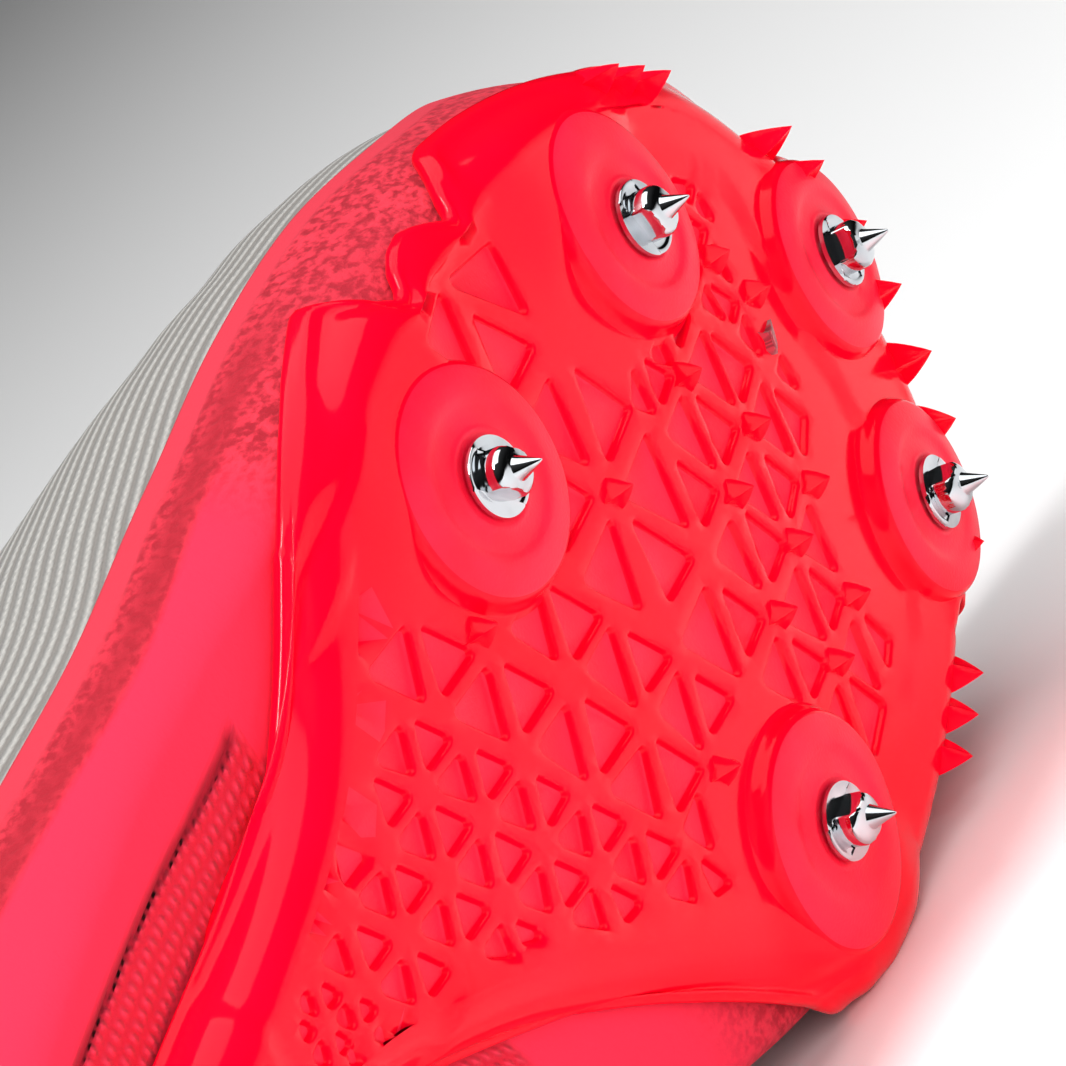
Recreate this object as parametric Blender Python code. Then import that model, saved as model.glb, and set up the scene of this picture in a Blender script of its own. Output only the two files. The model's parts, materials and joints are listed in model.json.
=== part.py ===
"""A right track spike shoe, lying empty on its medial side, sole edge and upper both down.

Every soft and hard layer is cut from one surface, the shell of the last: a function of a
station along the shoe, a side, and a girth that runs from the spine under the foot (0) out to
the feather edge (1), up to the widest line (2) and over to the ridge of the instep (3).
While it is built, +X points to the toe, +Y to the medial side and +Z up out of the sole; the
last step lays the shoe down. Lengths are metres.
"""

import math

import bmesh
import bpy
import numpy as np
from mathutils import Matrix, Vector

# Driving dimensions of the last
SHOE_LENGTH = 0.284
HALF_BALL_WIDTH = 0.048
INSTEP_HEIGHT = 0.0965
BALL_SHARE = 0.7155
TOE_SPRING_RADIUS = 0.357
CROWN_RADIUS = 0.450
CROWN_CENTRE = 0.004
FEATHER_INSET = 0.0070
WIDEST_RISE = 0.0180
RIDGE_SPREAD = 0.86
SPINE_SPREAD = 0.80
SECTION_FULLNESS = 2.75
CROWN_FADE = 0.45
MIDDLE_SHARE = 0.47
ARCH_RISE = 0.0060
ARCH_FROM = 0.010
ARCH_LENGTH = 0.055
HEEL_RISE = 0.0050
HEEL_SLOPE_FROM = 0.085
HEEL_SLOPE_LENGTH = 0.070

# Girths of the feather edge, the widest line and the ridge
FEATHER = 1.0
WIDEST = 2.0
RIDGE = 3.0

# Steps in station and girth over which the shell's directions are taken
STATION_STEP = 0.01
GIRTH_STEP = 0.1

# Layers
CLEARANCE = 0.0003
UPPER_WALL = 0.0016
GUARD_THICKNESS = 0.0008
PLATE_THICKNESS = 0.0022
INSOLE_THICKNESS = 0.0030
TONGUE_THICKNESS = 0.0022
TONGUE_CLEARANCE = 0.0007
TONGUE_GIRTH = 2.66
TONGUE_SPAN = (0.325, 0.675)
GUARD_SETBACK = 0.06
GUARD_FADE = 0.05
GUARD_ROOT_GIRTH = 0.25
INSOLE_GIRTHS = (0.0, 0.5, 0.90)
PLATE_CLEARANCE = 0.0006
PLATE_FROM = 0.36
PLATE_TREAD_SHARE = 0.72
RIM_STEPS = 4

# Spikes and the pads that they screw into
SPIKE_REACH = 0.0060
FLANGE_RADIUS = 0.0045
FLANGE_THICKNESS = 0.0009
HUB_RADIUS = 0.0030
HUB_FLATS = 0.0046
HUB_HEIGHT = 0.0028
HUB_SHOULDER = 0.0008
CONE_RADIUS = 0.0014
CONE_TIP_RADIUS = 0.0002
STUD_RADIUS = 0.0023
STUD_LENGTH = 0.0018
SPIKE_SEGMENTS = 12
PAD_RADIUS = 0.0128
PAD_RISE = 0.0030
PAD_SHOULDER = 0.0018
PAD_DISH_RADIUS = 0.0078
PAD_DISH_DEPTH = 0.0004
PAD_ROOT = 0.0012
PAD_SEGMENTS = 24

# Lattice of the plate: pockets between ribs that run along columns and slant across them
POCKET_DEPTH = 0.0010
RIB_WIDTH = 0.0026
NODE_TOOTH_RADIUS = 0.0022
NODE_TOOTH_HEIGHT = 0.0028

# Its pitch, shear, origin and hind end are shares of the length, forward of the ball line; its
# columns and the origin's place across are shares of the half width
LATTICE_PITCH = 0.03662
LATTICE_SHEAR = 0.0088
LATTICE_COLUMN = 0.2625
LATTICE_ORIGIN = (0.09366, 0.02083)
COARSE_LATTICE_FROM = -0.1056

# Teeth of the rim
RIM_TOOTH_LENGTH = 0.0064
RIM_TOOTH_DEPTH = 0.8
RIM_TOOTH_TIP = 0.0003
RIM_TOOTH_ROOT = 0.0010

# Notches of the rim
NOTCH_TOP_GIRTH = 2.3
NOTCH_CORNER_SHARE = 0.35
WIDEST_REACH = 0.0090

# Heel wedge
WEDGE_FLARE = 0.0030
WEDGE_NOSE = 0.0030
WEDGE_FLAT_FROM = 0.22
WEDGE_TO = 0.345
WEDGE_EDGE_RISE = 0.0030
# Shares of its upper edge's flare and fall, and the greatest share that its lower edge may rise
WEDGE_EDGE_SHARES = (0.6, 0.25, 0.3)

# Throat, eyelets and lace
EYELET_RADIUS = 0.0021
EYELET_INSET = 0.0075
EYELET_ROWS = 6
EYELET_SPAN = (0.66, 0.385)
EYELET_SEGMENTS = 8
LACE_WIDTH = 0.0056
LACE_THICKNESS = 0.0011
LACE_CLEARANCE = 0.0006
LACE_STAGGER = 0.0004
LACE_STEPS = 6
RIDGE_BLEND = 0.12

# One row for each station: along is a share of the length; medial, lateral, spine and ridge are
# shares of the half ball width, crown of the instep height and medial_inset of the feather
# inset; open, guard, flange and the plate's two edges are girths.
COLUMNS = (
    "along", "medial", "lateral", "spine", "ridge", "crown", "medial_inset",
    "open", "guard", "flange", "plate_medial", "plate_lateral",
)
STATIONS = (
    (0.000, 0.000, 0.000, 0.00, 0.00, 1.24, 1.0, 2.42, 2.42, 0.70, 0.20, 0.20),
    (0.012, 0.270, 0.270, 0.00, 0.00, 1.24, 1.0, 2.41, 2.41, 0.70, 0.20, 0.20),
    (0.045, 0.500, 0.500, 0.00, 0.00, 1.24, 1.0, 2.38, 2.38, 0.70, 0.20, 0.20),
    (0.105, 0.655, 0.655, 0.00, 0.00, 1.23, 1.0, 2.32, 2.32, 0.70, 0.20, 0.20),
    (0.190, 0.710, 0.710, -0.06, 0.02, 1.20, 1.0, 2.27, 2.16, 0.70, 0.20, 0.20),
    (0.280, 0.685, 0.750, -0.18, 0.04, 1.17, 1.0, 2.32, 2.05, 0.60, 0.20, 0.20),
    (0.370, 0.635, 0.820, -0.29, 0.07, 1.11, 1.0, 2.58, 1.98, 0.20, 0.24, 0.26),
    (0.460, 0.630, 0.900, -0.33, 0.09, 1.03, 1.0, 2.80, 1.86, 0.20, 0.25, 0.25),
    (0.550, 0.730, 0.965, -0.25, 0.10, 0.96, 0.8, 2.82, 1.76, 0.30, 0.46, 0.55),
    (0.635, 0.945, 1.000, -0.08, 0.10, 0.86, 0.6, 2.84, 1.88, 0.70, 0.73, 1.14),
    (0.715, 1.085, 1.030, 0.00, 0.10, 0.755, 0.4, 3.00, 1.92, 0.85, 1.35, 1.50),
    (0.790, 1.080, 1.010, 0.03, 0.11, 0.665, 0.4, 3.00, 1.92, 0.85, 1.60, 1.50),
    (0.855, 1.035, 0.935, 0.05, 0.12, 0.605, 0.5, 3.00, 1.84, 0.85, 1.60, 1.41),
    (0.910, 0.965, 0.805, 0.06, 0.13, 0.555, 0.7, 3.00, 1.94, 0.85, 1.50, 1.34),
    (0.955, 0.800, 0.620, 0.06, 0.12, 0.515, 0.9, 3.00, 2.14, 0.85, 1.50, 1.35),
    (0.985, 0.540, 0.355, 0.07, 0.08, 0.490, 1.0, 3.00, 2.34, 0.85, 1.50, 1.44),
    (1.000, 0.000, 0.000, 0.03, 0.06, 0.475, 1.0, 3.00, 2.42, 0.85, 1.50, 1.50),
)
MIRRORED = ("medial", "lateral")
STEPS_PER_ROW = (2, 1, 2, 2, 2, 2, 2, 2, 2, 2, 2, 2, 2, 2, 2, 2)
GIRTHS = (0.0, 0.5, 1.0, 1.35, 1.7, 2.0, 2.16, 2.33, 2.5, 2.67, 2.84, 3.0)
MEDIAL = 1
LATERAL = -1

# A facet of the hull counts as medial when its normal points at least this much to +Y
MEDIAL_FACET = 0.5

# Spikes: forward of the ball line as a share of the length, and across as a share of the half width
SPIKES = {
    "spike_lateral_rear": (-0.0167, -0.558),
    "spike_medial_rear": (0.0167, 0.725),
    "spike_lateral_front": (0.1460, -0.490),
    "spike_medial_front": (0.2010, 0.680),
    "spike_toe": (0.2500, 0.125),
}

# Teeth on the rim: side, station share along the shoe, girth of the foot of the tooth, how far it
# leans out for each length down, and its height
RIM_TEETH = (
    (LATERAL, 0.9240, 1.18, 0.35, 0.0047), (LATERAL, 0.9385, 1.15, 0.35, 0.0047),
    (LATERAL, 0.9530, 1.13, 0.35, 0.0047), (LATERAL, 0.9961, 1.25, 0.50, 0.0062),
    (LATERAL, 0.9997, 1.20, 0.70, 0.0062), (MEDIAL, 0.9984, 1.20, 0.70, 0.0062),
    (MEDIAL, 0.9939, 1.15, 0.35, 0.0062), (MEDIAL, 0.9859, 1.15, 0.35, 0.0055),
    (MEDIAL, 0.9704, 1.15, 0.35, 0.0049), (MEDIAL, 0.9270, 1.15, 0.35, 0.0049),
    (MEDIAL, 0.8690, 1.15, 0.35, 0.0047), (MEDIAL, 0.8490, 1.15, 0.35, 0.0047),
    (MEDIAL, 0.8270, 1.12, 0.35, 0.0047),
)

# Notches that part the rim into wings: side, station share along, length share, floor girth
NOTCHES = (
    (LATERAL, 0.774, 0.100, 1.22), (LATERAL, 0.7405, 0.012, 1.06), (LATERAL, 0.794, 0.016, 1.05),
    (MEDIAL, 0.893, 0.016, 1.15), (MEDIAL, 0.804, 0.008, 1.30),
)

# Outline of the lattice field, as forward shares of the length and across shares of the half width
FIELD = (
    (0.089, -0.875), (0.020, -0.960), (-0.078, -0.833), (-0.117, -0.750), (-0.160, -0.667),
    (-0.220, -0.552), (-0.266, -0.479), (-0.234, -0.271), (-0.177, -0.146), (-0.124, 0.052),
    (-0.053, 0.469), (0.046, 0.792), (0.142, 0.729), (0.170, 0.210), (0.213, -0.250), (0.177, -0.531),
)

# Nodes of the lattice that carry a tooth, in the same shares
NODE_TEETH = (
    (0.131, 0.031), (0.117, -0.219), (0.094, 0.042), (0.138, 0.271), (0.105, 0.271),
    (0.113, 0.510), (0.078, 0.521), (0.067, 0.292), (0.039, -0.292), (0.184, -0.240),
    (0.191, -0.083), (0.177, -0.375), (-0.016, 0.292), (-0.064, -0.479),
)

# Kilograms to a cubic metre of the library's material classes, for the balance of the shoe on its side
DENSITIES = {"steel": 7850.0, "foam_grey": 1200.0, "gloss_red": 1100.0, "suede_red": 900.0}
OTHER_DENSITY = 300.0

COLOURS = {
    "gloss_red": ((1.0, 0.01, 0.045), 0.12, 0.0),
    "suede_red": ((0.90, 0.05, 0.11), 0.85, 0.0),
    "knit_grey": ((0.42, 0.41, 0.39), 0.80, 0.0),
    "foam_grey": ((0.60, 0.59, 0.57), 0.65, 0.0),
    "steel": ((0.62, 0.64, 0.66), 0.15, 1.0),
    "lace_orange": ((1.0, 0.13, 0.05), 0.75, 0.0),
    "lining_red": ((0.75, 0.05, 0.09), 0.80, 0.0),
}


def clear_scene():
    """Remove the objects that the file starts with."""
    for obj in list(bpy.data.objects):
        bpy.data.objects.remove(obj)


def material(name):
    """A plain Principled material of the named colour."""
    if name in bpy.data.materials:
        return bpy.data.materials[name]
    made = bpy.data.materials.new(name)
    made.use_nodes = True
    colour, roughness, metallic = COLOURS[name]
    shader = made.node_tree.nodes["Principled BSDF"]
    shader.inputs["Base Color"].default_value = (*colour, 1.0)
    shader.inputs["Roughness"].default_value = roughness
    shader.inputs["Metallic"].default_value = metallic
    return made


def station(u):
    """Columns of the station table at u, from 0 at the heel to 1 at the toe, as a Catmull-Rom curve."""
    rows = np.array(STATIONS)
    flip = np.array([-1.0 if name in MIRRORED else 1.0 for name in COLUMNS])
    rows = np.vstack([rows[1] * flip, rows, rows[-2] * flip])
    place = min(max(u, 0.0), 1.0) * (len(STATIONS) - 1)
    i = min(int(place), len(STATIONS) - 2)
    t = place - i
    a, b, c, d = rows[i : i + 4]
    square, cube = 2 * a - 5 * b + 4 * c - d, 3 * b - a - 3 * c + d
    value = (2 * b + (c - a) * t + square * t**2 + cube * t**3) / 2
    return dict(zip(COLUMNS, value))


def station_at(along):
    """The u whose station lies at this share of the length, found by halving."""
    low, high = 0.0, 1.0
    for _ in range(40):
        middle = (low + high) / 2
        if station(middle)["along"] < along:
            low = middle
        else:
            high = middle
    return (low + high) / 2


def forward(along):
    """X of a share of the length, with 0 at the ball line."""
    return (along - BALL_SHARE) * SHOE_LENGTH


def ball_stack():
    """Height of the upper's underside over the floor at the ball."""
    return SPIKE_REACH + FLANGE_THICKNESS + CLEARANCE + PAD_RISE + PLATE_THICKNESS + plate_lift()


def ease(share):
    """A share held between 0 and 1 and eased at both ends."""
    held = min(max(share, 0.0), 1.0)
    return held * held * (3 - 2 * held)


def arch(x):
    """How far the upper's underside stands over the plate's level tread, behind the ball."""
    waist = ARCH_RISE * ease((-x - ARCH_FROM) / ARCH_LENGTH)
    heel = (ARCH_RISE - HEEL_RISE) * ease((-x - HEEL_SLOPE_FROM) / HEEL_SLOPE_LENGTH)
    return waist - heel


def level(x, y):
    """Height over the plate's tread that the shell would have without its arch: sprung at the toe."""
    spring = max(x, 0.0) ** 2 / (2 * TOE_SPRING_RADIUS)
    crown = (y - CROWN_CENTRE) ** 2 / (2 * CROWN_RADIUS)
    flat = 1 - ease(-x / (CROWN_FADE * SHOE_LENGTH))
    return ball_stack() + spring + crown * flat


def underside(x, y):
    """Height of the upper's underside: level at the ball, sprung at the toe, arched behind it."""
    return level(x, y) + arch(x)


def squeeze(x, spread):
    """X drawn in towards the middle of the shoe, so that end profiles fan out without a pole."""
    middle = forward(MIDDLE_SHARE)
    return middle + (x - middle) * spread


def shell(u, side, girth):
    """A point of the last's shell at a station, a side and a girth."""
    row = station(u)
    x = forward(row["along"])
    out = side * HALF_BALL_WIDTH * (row["medial"] if side == MEDIAL else row["lateral"])
    # The normal of the outline in plan, for the inset of the feather edge
    ahead, behind = station(u + STATION_STEP), station(u - STATION_STEP)
    column = "medial" if side == MEDIAL else "lateral"
    run = (ahead["along"] - behind["along"]) * SHOE_LENGTH
    swing = side * (ahead[column] - behind[column]) * HALF_BALL_WIDTH
    outward = Vector((-swing * side, run * side, 0.0))
    if u <= 0.0:
        outward = Vector((-1.0, 0.0, 0.0))
    elif u >= 1.0:
        outward = Vector((1.0, 0.0, 0.0))
    outward.normalize()
    widest = Vector((x, out, 0.0))
    inset = FEATHER_INSET * (row["medial_inset"] if side == MEDIAL else 1.0)
    feather = widest - outward * inset
    spine = Vector((squeeze(x, SPINE_SPREAD), row["spine"] * HALF_BALL_WIDTH, 0.0))
    ridge = Vector((squeeze(x, RIDGE_SPREAD), row["ridge"] * HALF_BALL_WIDTH, row["crown"] * INSTEP_HEIGHT))
    if girth <= FEATHER:
        point = spine.lerp(feather, girth)
        point.z = underside(point.x, point.y)
        return point
    base = underside(feather.x, feather.y)
    if girth <= WIDEST:
        turn = (WIDEST - girth) * math.pi / 2
        point = widest - outward * inset * (1 - math.cos(turn))
        point.z = base + WIDEST_RISE * (1 - math.sin(turn))
        return point
    turn = (girth - WIDEST) * math.pi / 2
    across, up = math.cos(turn), math.sin(turn)
    reach = (across**SECTION_FULLNESS + up**SECTION_FULLNESS) ** (-1 / SECTION_FULLNESS)
    point = ridge.lerp(widest, max(across * reach, 0.0))
    shoulder = base + WIDEST_RISE
    point.z = shoulder + (ridge.z - shoulder) * up * reach
    return point


def stations_between(first, last):
    """The shared stations of every layer, clipped to a range, so that layers have parallel facets."""
    shared = [0.0]
    rows = len(STEPS_PER_ROW)
    for row, steps in enumerate(STEPS_PER_ROW):
        shared += [(row + (k + 1) / steps) / rows for k in range(steps)]
    inside = [u for u in shared if first < u < last]
    return [first, *inside, last]


def clipped_girths(low, high):
    """The shared girths, with those outside a sheet's two edges drawn in to them."""
    return lambda u, side: [min(max(girth, low(u, side)), high(u, side)) for girth in GIRTHS]


def sheet(name, first, last, girths, lift, drop=None):
    """A sheet of the shell between two stations, moved out along its own normals by lift.

    girths is a function of station and side that gives the girths of one column of points, and
    drop one of station, side and girth that says how far a point is let down first.
    """
    mesh = bmesh.new()
    for side in (LATERAL, MEDIAL):
        columns = []
        for u in stations_between(first, last):
            points = []
            for girth in girths(u, side):
                point = shell(u, side, girth)
                if drop:
                    point.z -= drop(u, side, girth)
                points.append(mesh.verts.new(point))
            columns.append(points)
        for one, two in zip(columns, columns[1:]):
            for j in range(len(one) - 1):
                corners = [one[j], two[j], two[j + 1], one[j + 1]]
                mesh.faces.new(corners if side == LATERAL else corners[::-1])
    bmesh.ops.remove_doubles(mesh, verts=mesh.verts, dist=2e-5)
    bmesh.ops.dissolve_degenerate(mesh, edges=mesh.edges, dist=1e-5)
    loose = [v for v in mesh.verts if not v.link_faces]
    bmesh.ops.delete(mesh, geom=loose, context="VERTS")
    bmesh.ops.recalc_face_normals(mesh, faces=mesh.faces)
    mesh.normal_update()
    widest = max(mesh.faces, key=lambda f: abs(f.calc_center_median().y))
    if widest.normal.y * widest.calc_center_median().y < 0:
        bmesh.ops.reverse_faces(mesh, faces=mesh.faces)
        mesh.normal_update()
    moved = [v.co + v.normal * lift for v in mesh.verts]
    for vert, place in zip(mesh.verts, moved):
        vert.co = place
    return finish(name, mesh)


def finish(name, mesh):
    """Make a bmesh an object in the scene."""
    data = bpy.data.meshes.new(name)
    mesh.to_mesh(data)
    mesh.free()
    obj = bpy.data.objects.new(name, data)
    bpy.context.scene.collection.objects.link(obj)
    return obj


def thicken(obj, thickness, outward):
    """Give a sheet its wall, outward or inward of the surface that it was built on."""
    wall = obj.modifiers.new("wall", "SOLIDIFY")
    wall.thickness = thickness
    wall.offset = 1.0 if outward else -1.0
    wall.use_even_offset = True
    wall.use_quality_normals = True


def apply_modifiers(obj):
    """Replace an object's mesh by what its modifiers make of it."""
    graph = bpy.context.evaluated_depsgraph_get()
    made = bpy.data.meshes.new_from_object(obj.evaluated_get(graph))
    obj.modifiers.clear()
    obj.data = made


def combine(obj, others, operation):
    """Join other solids to an object, or cut them from it, and remove them."""
    for other in others:
        step = obj.modifiers.new(operation.lower(), "BOOLEAN")
        step.operation = operation
        step.solver = "EXACT"
        step.object = other
        apply_modifiers(obj)
        bpy.data.objects.remove(other)


def dress(obj, colour, angle=40.0):
    """Shade an object smooth between its sharp edges and give it its material."""
    obj.data.materials.clear()
    obj.data.materials.append(material(colour))
    obj.data.shade_smooth()
    obj.data.set_sharp_from_angle(angle=math.radians(angle))


def turned(name, profile, segments, place, axis):
    """A solid turned from (radius, height) points about an axis; both ends lie on the axis."""
    mesh = bmesh.new()
    turn = axis.to_track_quat("Z", "Y").to_matrix().to_4x4()
    frame = Matrix.Translation(place) @ turn
    rings = []
    for radius, height in profile:
        if radius == 0.0:
            rings.append([mesh.verts.new(frame @ Vector((0.0, 0.0, height)))])
            continue
        ring = []
        for k in range(segments):
            angle = 2 * math.pi * k / segments
            corner = Vector((radius * math.cos(angle), radius * math.sin(angle), height))
            ring.append(mesh.verts.new(frame @ corner))
        rings.append(ring)
    for lower, upper in zip(rings, rings[1:]):
        for k in range(segments):
            n = (k + 1) % segments
            if len(lower) == 1:
                mesh.faces.new([lower[0], upper[k], upper[n]])
            elif len(upper) == 1:
                mesh.faces.new([lower[k], lower[n], upper[0]])
            else:
                mesh.faces.new([lower[k], lower[n], upper[n], upper[k]])
    bmesh.ops.recalc_face_normals(mesh, faces=mesh.faces)
    return finish(name, mesh)


def prism(name, bottom, top):
    """A closed solid between two rings of as many points."""
    mesh = bmesh.new()
    lower = [mesh.verts.new(p) for p in bottom]
    upper = [mesh.verts.new(p) for p in top]
    for k in range(len(lower)):
        n = (k + 1) % len(lower)
        mesh.faces.new([lower[k], lower[n], upper[n], upper[k]])
    mesh.faces.new(lower[::-1])
    mesh.faces.new(upper)
    bmesh.ops.recalc_face_normals(mesh, faces=mesh.faces)
    return finish(name, mesh)


def plate_lift():
    """How far the plate's inner face stands off the shell."""
    return CLEARANCE + GUARD_THICKNESS + PLATE_CLEARANCE


def tread(x, y):
    """A point on the plate's underside, and the direction out of it."""
    step = 0.001
    slope_x = (level(x + step, y) - level(x - step, y)) / (2 * step)
    slope_y = (level(x, y + step) - level(x, y - step)) / (2 * step)
    down = Vector((slope_x, slope_y, -1.0)).normalized()
    place = Vector((x, y, level(x, y))) + down * (plate_lift() + PLATE_THICKNESS)
    return place, down


def spike_seat(name):
    """Centre of a pad's face and the direction of its spike."""
    share_x, share_y = SPIKES[name]
    place, down = tread(share_x * SHOE_LENGTH, share_y * HALF_BALL_WIDTH)
    return place + down * PAD_RISE, down


def spike_tip(name):
    """Tip of a spike."""
    face, down = spike_seat(name)
    return face + down * (CLEARANCE + FLANGE_THICKNESS + SPIKE_REACH)


def floor_height():
    """Height of the plane that the spikes' tips stand on."""
    return min(spike_tip(name).z for name in SPIKES)


def make_spike(name):
    """A steel spike: threaded stud, round flange, hub with two flats for the key, and a cone."""
    face, down = spike_seat(name)
    flange = CLEARANCE + FLANGE_THICKNESS
    profile = (
        (0.0, CLEARANCE - STUD_LENGTH),
        (STUD_RADIUS, CLEARANCE - STUD_LENGTH),
        (STUD_RADIUS, CLEARANCE),
        (FLANGE_RADIUS, CLEARANCE),
        (FLANGE_RADIUS, flange),
        (HUB_RADIUS, flange),
        (HUB_RADIUS, flange + HUB_HEIGHT - HUB_SHOULDER),
        (CONE_RADIUS, flange + HUB_HEIGHT),
        (CONE_TIP_RADIUS, flange + SPIKE_REACH),
        (0.0, flange + SPIKE_REACH),
    )
    spike = turned(name, profile, SPIKE_SEGMENTS, face, down)
    turn = down.to_track_quat("Z", "Y").to_matrix().to_4x4()
    for sign in (-1, 1):
        low, high = sign * HUB_FLATS / 2, sign * 2 * HUB_RADIUS
        near, far = flange + CLEARANCE, flange + HUB_HEIGHT
        wide = 2 * HUB_RADIUS
        frame = Matrix.Translation(face) @ turn
        corners = ((low, -wide), (high, -wide), (high, wide), (low, wide))
        bottom = [frame @ Vector((*corner, near)) for corner in corners]
        top = [frame @ Vector((*corner, far)) for corner in corners]
        combine(spike, [prism("flat", bottom, top)], "DIFFERENCE")
    dress(spike, "steel", 30.0)
    return spike


def make_pad(name):
    """The round pad of one spike, dished round the flange and bored for the stud."""
    face, down = spike_seat(name)
    hole = STUD_RADIUS + CLEARANCE
    profile = (
        (0.0, -STUD_LENGTH - CLEARANCE),
        (hole, -STUD_LENGTH - CLEARANCE),
        (hole, 0.0),
        (FLANGE_RADIUS + CLEARANCE, 0.0),
        (PAD_DISH_RADIUS, -PAD_DISH_DEPTH),
        (PAD_RADIUS - PAD_SHOULDER, -PAD_DISH_DEPTH),
        (PAD_RADIUS, -PAD_DISH_DEPTH - PAD_SHOULDER),
        (PAD_RADIUS, -PAD_RISE - PAD_ROOT),
        (0.0, -PAD_RISE - PAD_ROOT),
    )
    return turned("pad", profile, PAD_SEGMENTS, face, down)


def make_rim_tooth(side, along, girth, splay, height):
    """A fin of the rim: a pyramid that points down and a little outward."""
    u = station_at(along)
    half = RIM_TOOTH_LENGTH / 2
    foot = shell(u, side, girth)
    run = (shell(min(u + STATION_STEP, 1.0), side, girth) - shell(u - STATION_STEP, side, girth)).normalized()
    climb = (shell(u, side, girth + GIRTH_STEP) - shell(u, side, girth - GIRTH_STEP)).normalized()
    out = run.cross(climb) * (1 if side == LATERAL else -1)
    out.normalize()
    face = plate_lift() + PLATE_THICKNESS
    root = foot + out * (face - RIM_TOOTH_ROOT)
    across = climb * half * RIM_TOOTH_DEPTH
    ring = [root - run * half, root - across, root + run * half, root + across]
    aim = (out * splay + Vector((0.0, 0.0, -1.0))).normalized()
    tip = foot + out * face + aim * height
    cap = [tip + (corner - root).normalized() * RIM_TOOTH_TIP for corner in ring]
    return prism("tooth", ring, cap)


def make_notch(side, along, length, floor_girth):
    """A cutter that parts the rim of the plate down to a girth."""
    u = station_at(along)
    run = (shell(u + STATION_STEP, side, WIDEST) - shell(u - STATION_STEP, side, WIDEST)).normalized()
    low, high = shell(u, side, floor_girth), shell(u, side, NOTCH_TOP_GIRTH)
    out = Vector((run.y, -run.x, 0.0)).normalized() * -side
    if out.y * side < 0:
        out = -out
    half = length * SHOE_LENGTH / 2
    depth = 2 * FEATHER_INSET + plate_lift() + PLATE_THICKNESS
    corner = half * NOTCH_CORNER_SHARE
    profile = (
        (-half, high.z), (-half, low.z + corner), (-half + corner, low.z),
        (half - corner, low.z), (half, low.z + corner), (half, high.z),
    )
    # The cutter starts inside the shoe and ends outside it
    inner, outer = [], []
    for offset, height in profile:
        point = Vector((low.x, low.y, height)) + run * offset
        inner.append(point - out * depth)
        outer.append(point + out * (depth + WIDEST_REACH))
    return prism("notch", inner, outer)


def in_field(x, y):
    """Whether a spot of the tread lies in the lattice field, clear of the pads."""
    inside = False
    for (ax, ay), (bx, by) in zip(FIELD, (*FIELD[1:], FIELD[0])):
        ax, bx = ax * SHOE_LENGTH, bx * SHOE_LENGTH
        ay, by = ay * HALF_BALL_WIDTH, by * HALF_BALL_WIDTH
        if (ay > y) != (by > y) and x < ax + (bx - ax) * (y - ay) / (by - ay):
            inside = not inside
    reach = PAD_RADIUS + RIB_WIDTH / 2
    clear = all(
        math.hypot(x - SHOE_LENGTH * sx, y - HALF_BALL_WIDTH * sy) > reach for sx, sy in SPIKES.values()
    )
    return inside and clear


def lattice_node(i, j):
    """A crossing of the ribs: i along its column, j across the columns."""
    share_x = LATTICE_ORIGIN[0] + i * LATTICE_PITCH + j * LATTICE_SHEAR
    share_y = LATTICE_ORIGIN[1] + j * LATTICE_COLUMN
    return share_x * SHOE_LENGTH, share_y * HALF_BALL_WIDTH


def pocket_corners(nodes):
    """Corners of a pocket: the triangle of its nodes, drawn in by half a rib on every side."""
    corners = [Vector((*node, 0.0)) for node in nodes]
    middle = sum(corners, Vector()) / 3
    sides = [corners[k - 1] - corners[k] for k in range(3)]
    around = sum(side.length for side in sides)
    inner_radius = sides[0].cross(sides[1]).length / around
    return [middle.lerp(corner, 1 - RIB_WIDTH / 2 / inner_radius) for corner in corners]


def make_pockets():
    """One cutter of the coarse pockets under the ball; the fine ones are left to the look."""
    mesh = bmesh.new()
    for i in range(-10, 10):
        for j in range(-6, 6):
            here, ahead = lattice_node(i, j), lattice_node(i + 1, j)
            beside, beyond = lattice_node(i, j + 1), lattice_node(i + 1, j + 1)
            for nodes in ((here, ahead, beside), (beside, ahead, beyond)):
                corners = pocket_corners(nodes)
                if all(p.x > COARSE_LATTICE_FROM * SHOE_LENGTH and in_field(p.x, p.y) for p in corners):
                    add_pocket(mesh, corners)
    bmesh.ops.recalc_face_normals(mesh, faces=mesh.faces)
    return finish("pockets", mesh)


def add_pocket(mesh, corners):
    """Add the prism of one pocket to the cutter."""
    low, high = [], []
    for corner in corners:
        place, down = tread(corner.x, corner.y)
        low.append(mesh.verts.new(place - down * POCKET_DEPTH))
        high.append(mesh.verts.new(place + down * POCKET_DEPTH))
    for k in range(3):
        n = (k + 1) % 3
        mesh.faces.new([low[k], low[n], high[n], high[k]])
    mesh.faces.new(low[::-1])
    mesh.faces.new(high)


def make_node_tooth(share_x, share_y):
    """A small pyramid on a crossing of the lattice."""
    place, down = tread(share_x * SHOE_LENGTH, share_y * HALF_BALL_WIDTH)
    profile = (
        (0.0, -PAD_ROOT),
        (NODE_TOOTH_RADIUS, -PAD_ROOT),
        (NODE_TOOTH_RADIUS, 0.0),
        (CONE_TIP_RADIUS, NODE_TOOTH_HEIGHT),
        (0.0, NODE_TOOTH_HEIGHT),
    )
    return turned("tooth", profile, 4, place, down)


def plate_edge(u, side):
    """Girth of the plate's upper edge."""
    return station(u)["plate_medial" if side == MEDIAL else "plate_lateral"]


def plate_corner(u, side):
    """Girth at which the tread turns up into the rim or the flank."""
    return min(FEATHER, PLATE_TREAD_SHARE * plate_edge(u, side))


def plate_girths(u, side):
    """Girths of one column of the plate: few across the tread, more up the rim."""
    corner, edge = plate_corner(u, side), plate_edge(u, side)
    rim = [corner + (edge - corner) * k / RIM_STEPS for k in range(1, RIM_STEPS + 1)]
    return [0.0, corner / 2, corner, *rim]


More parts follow.
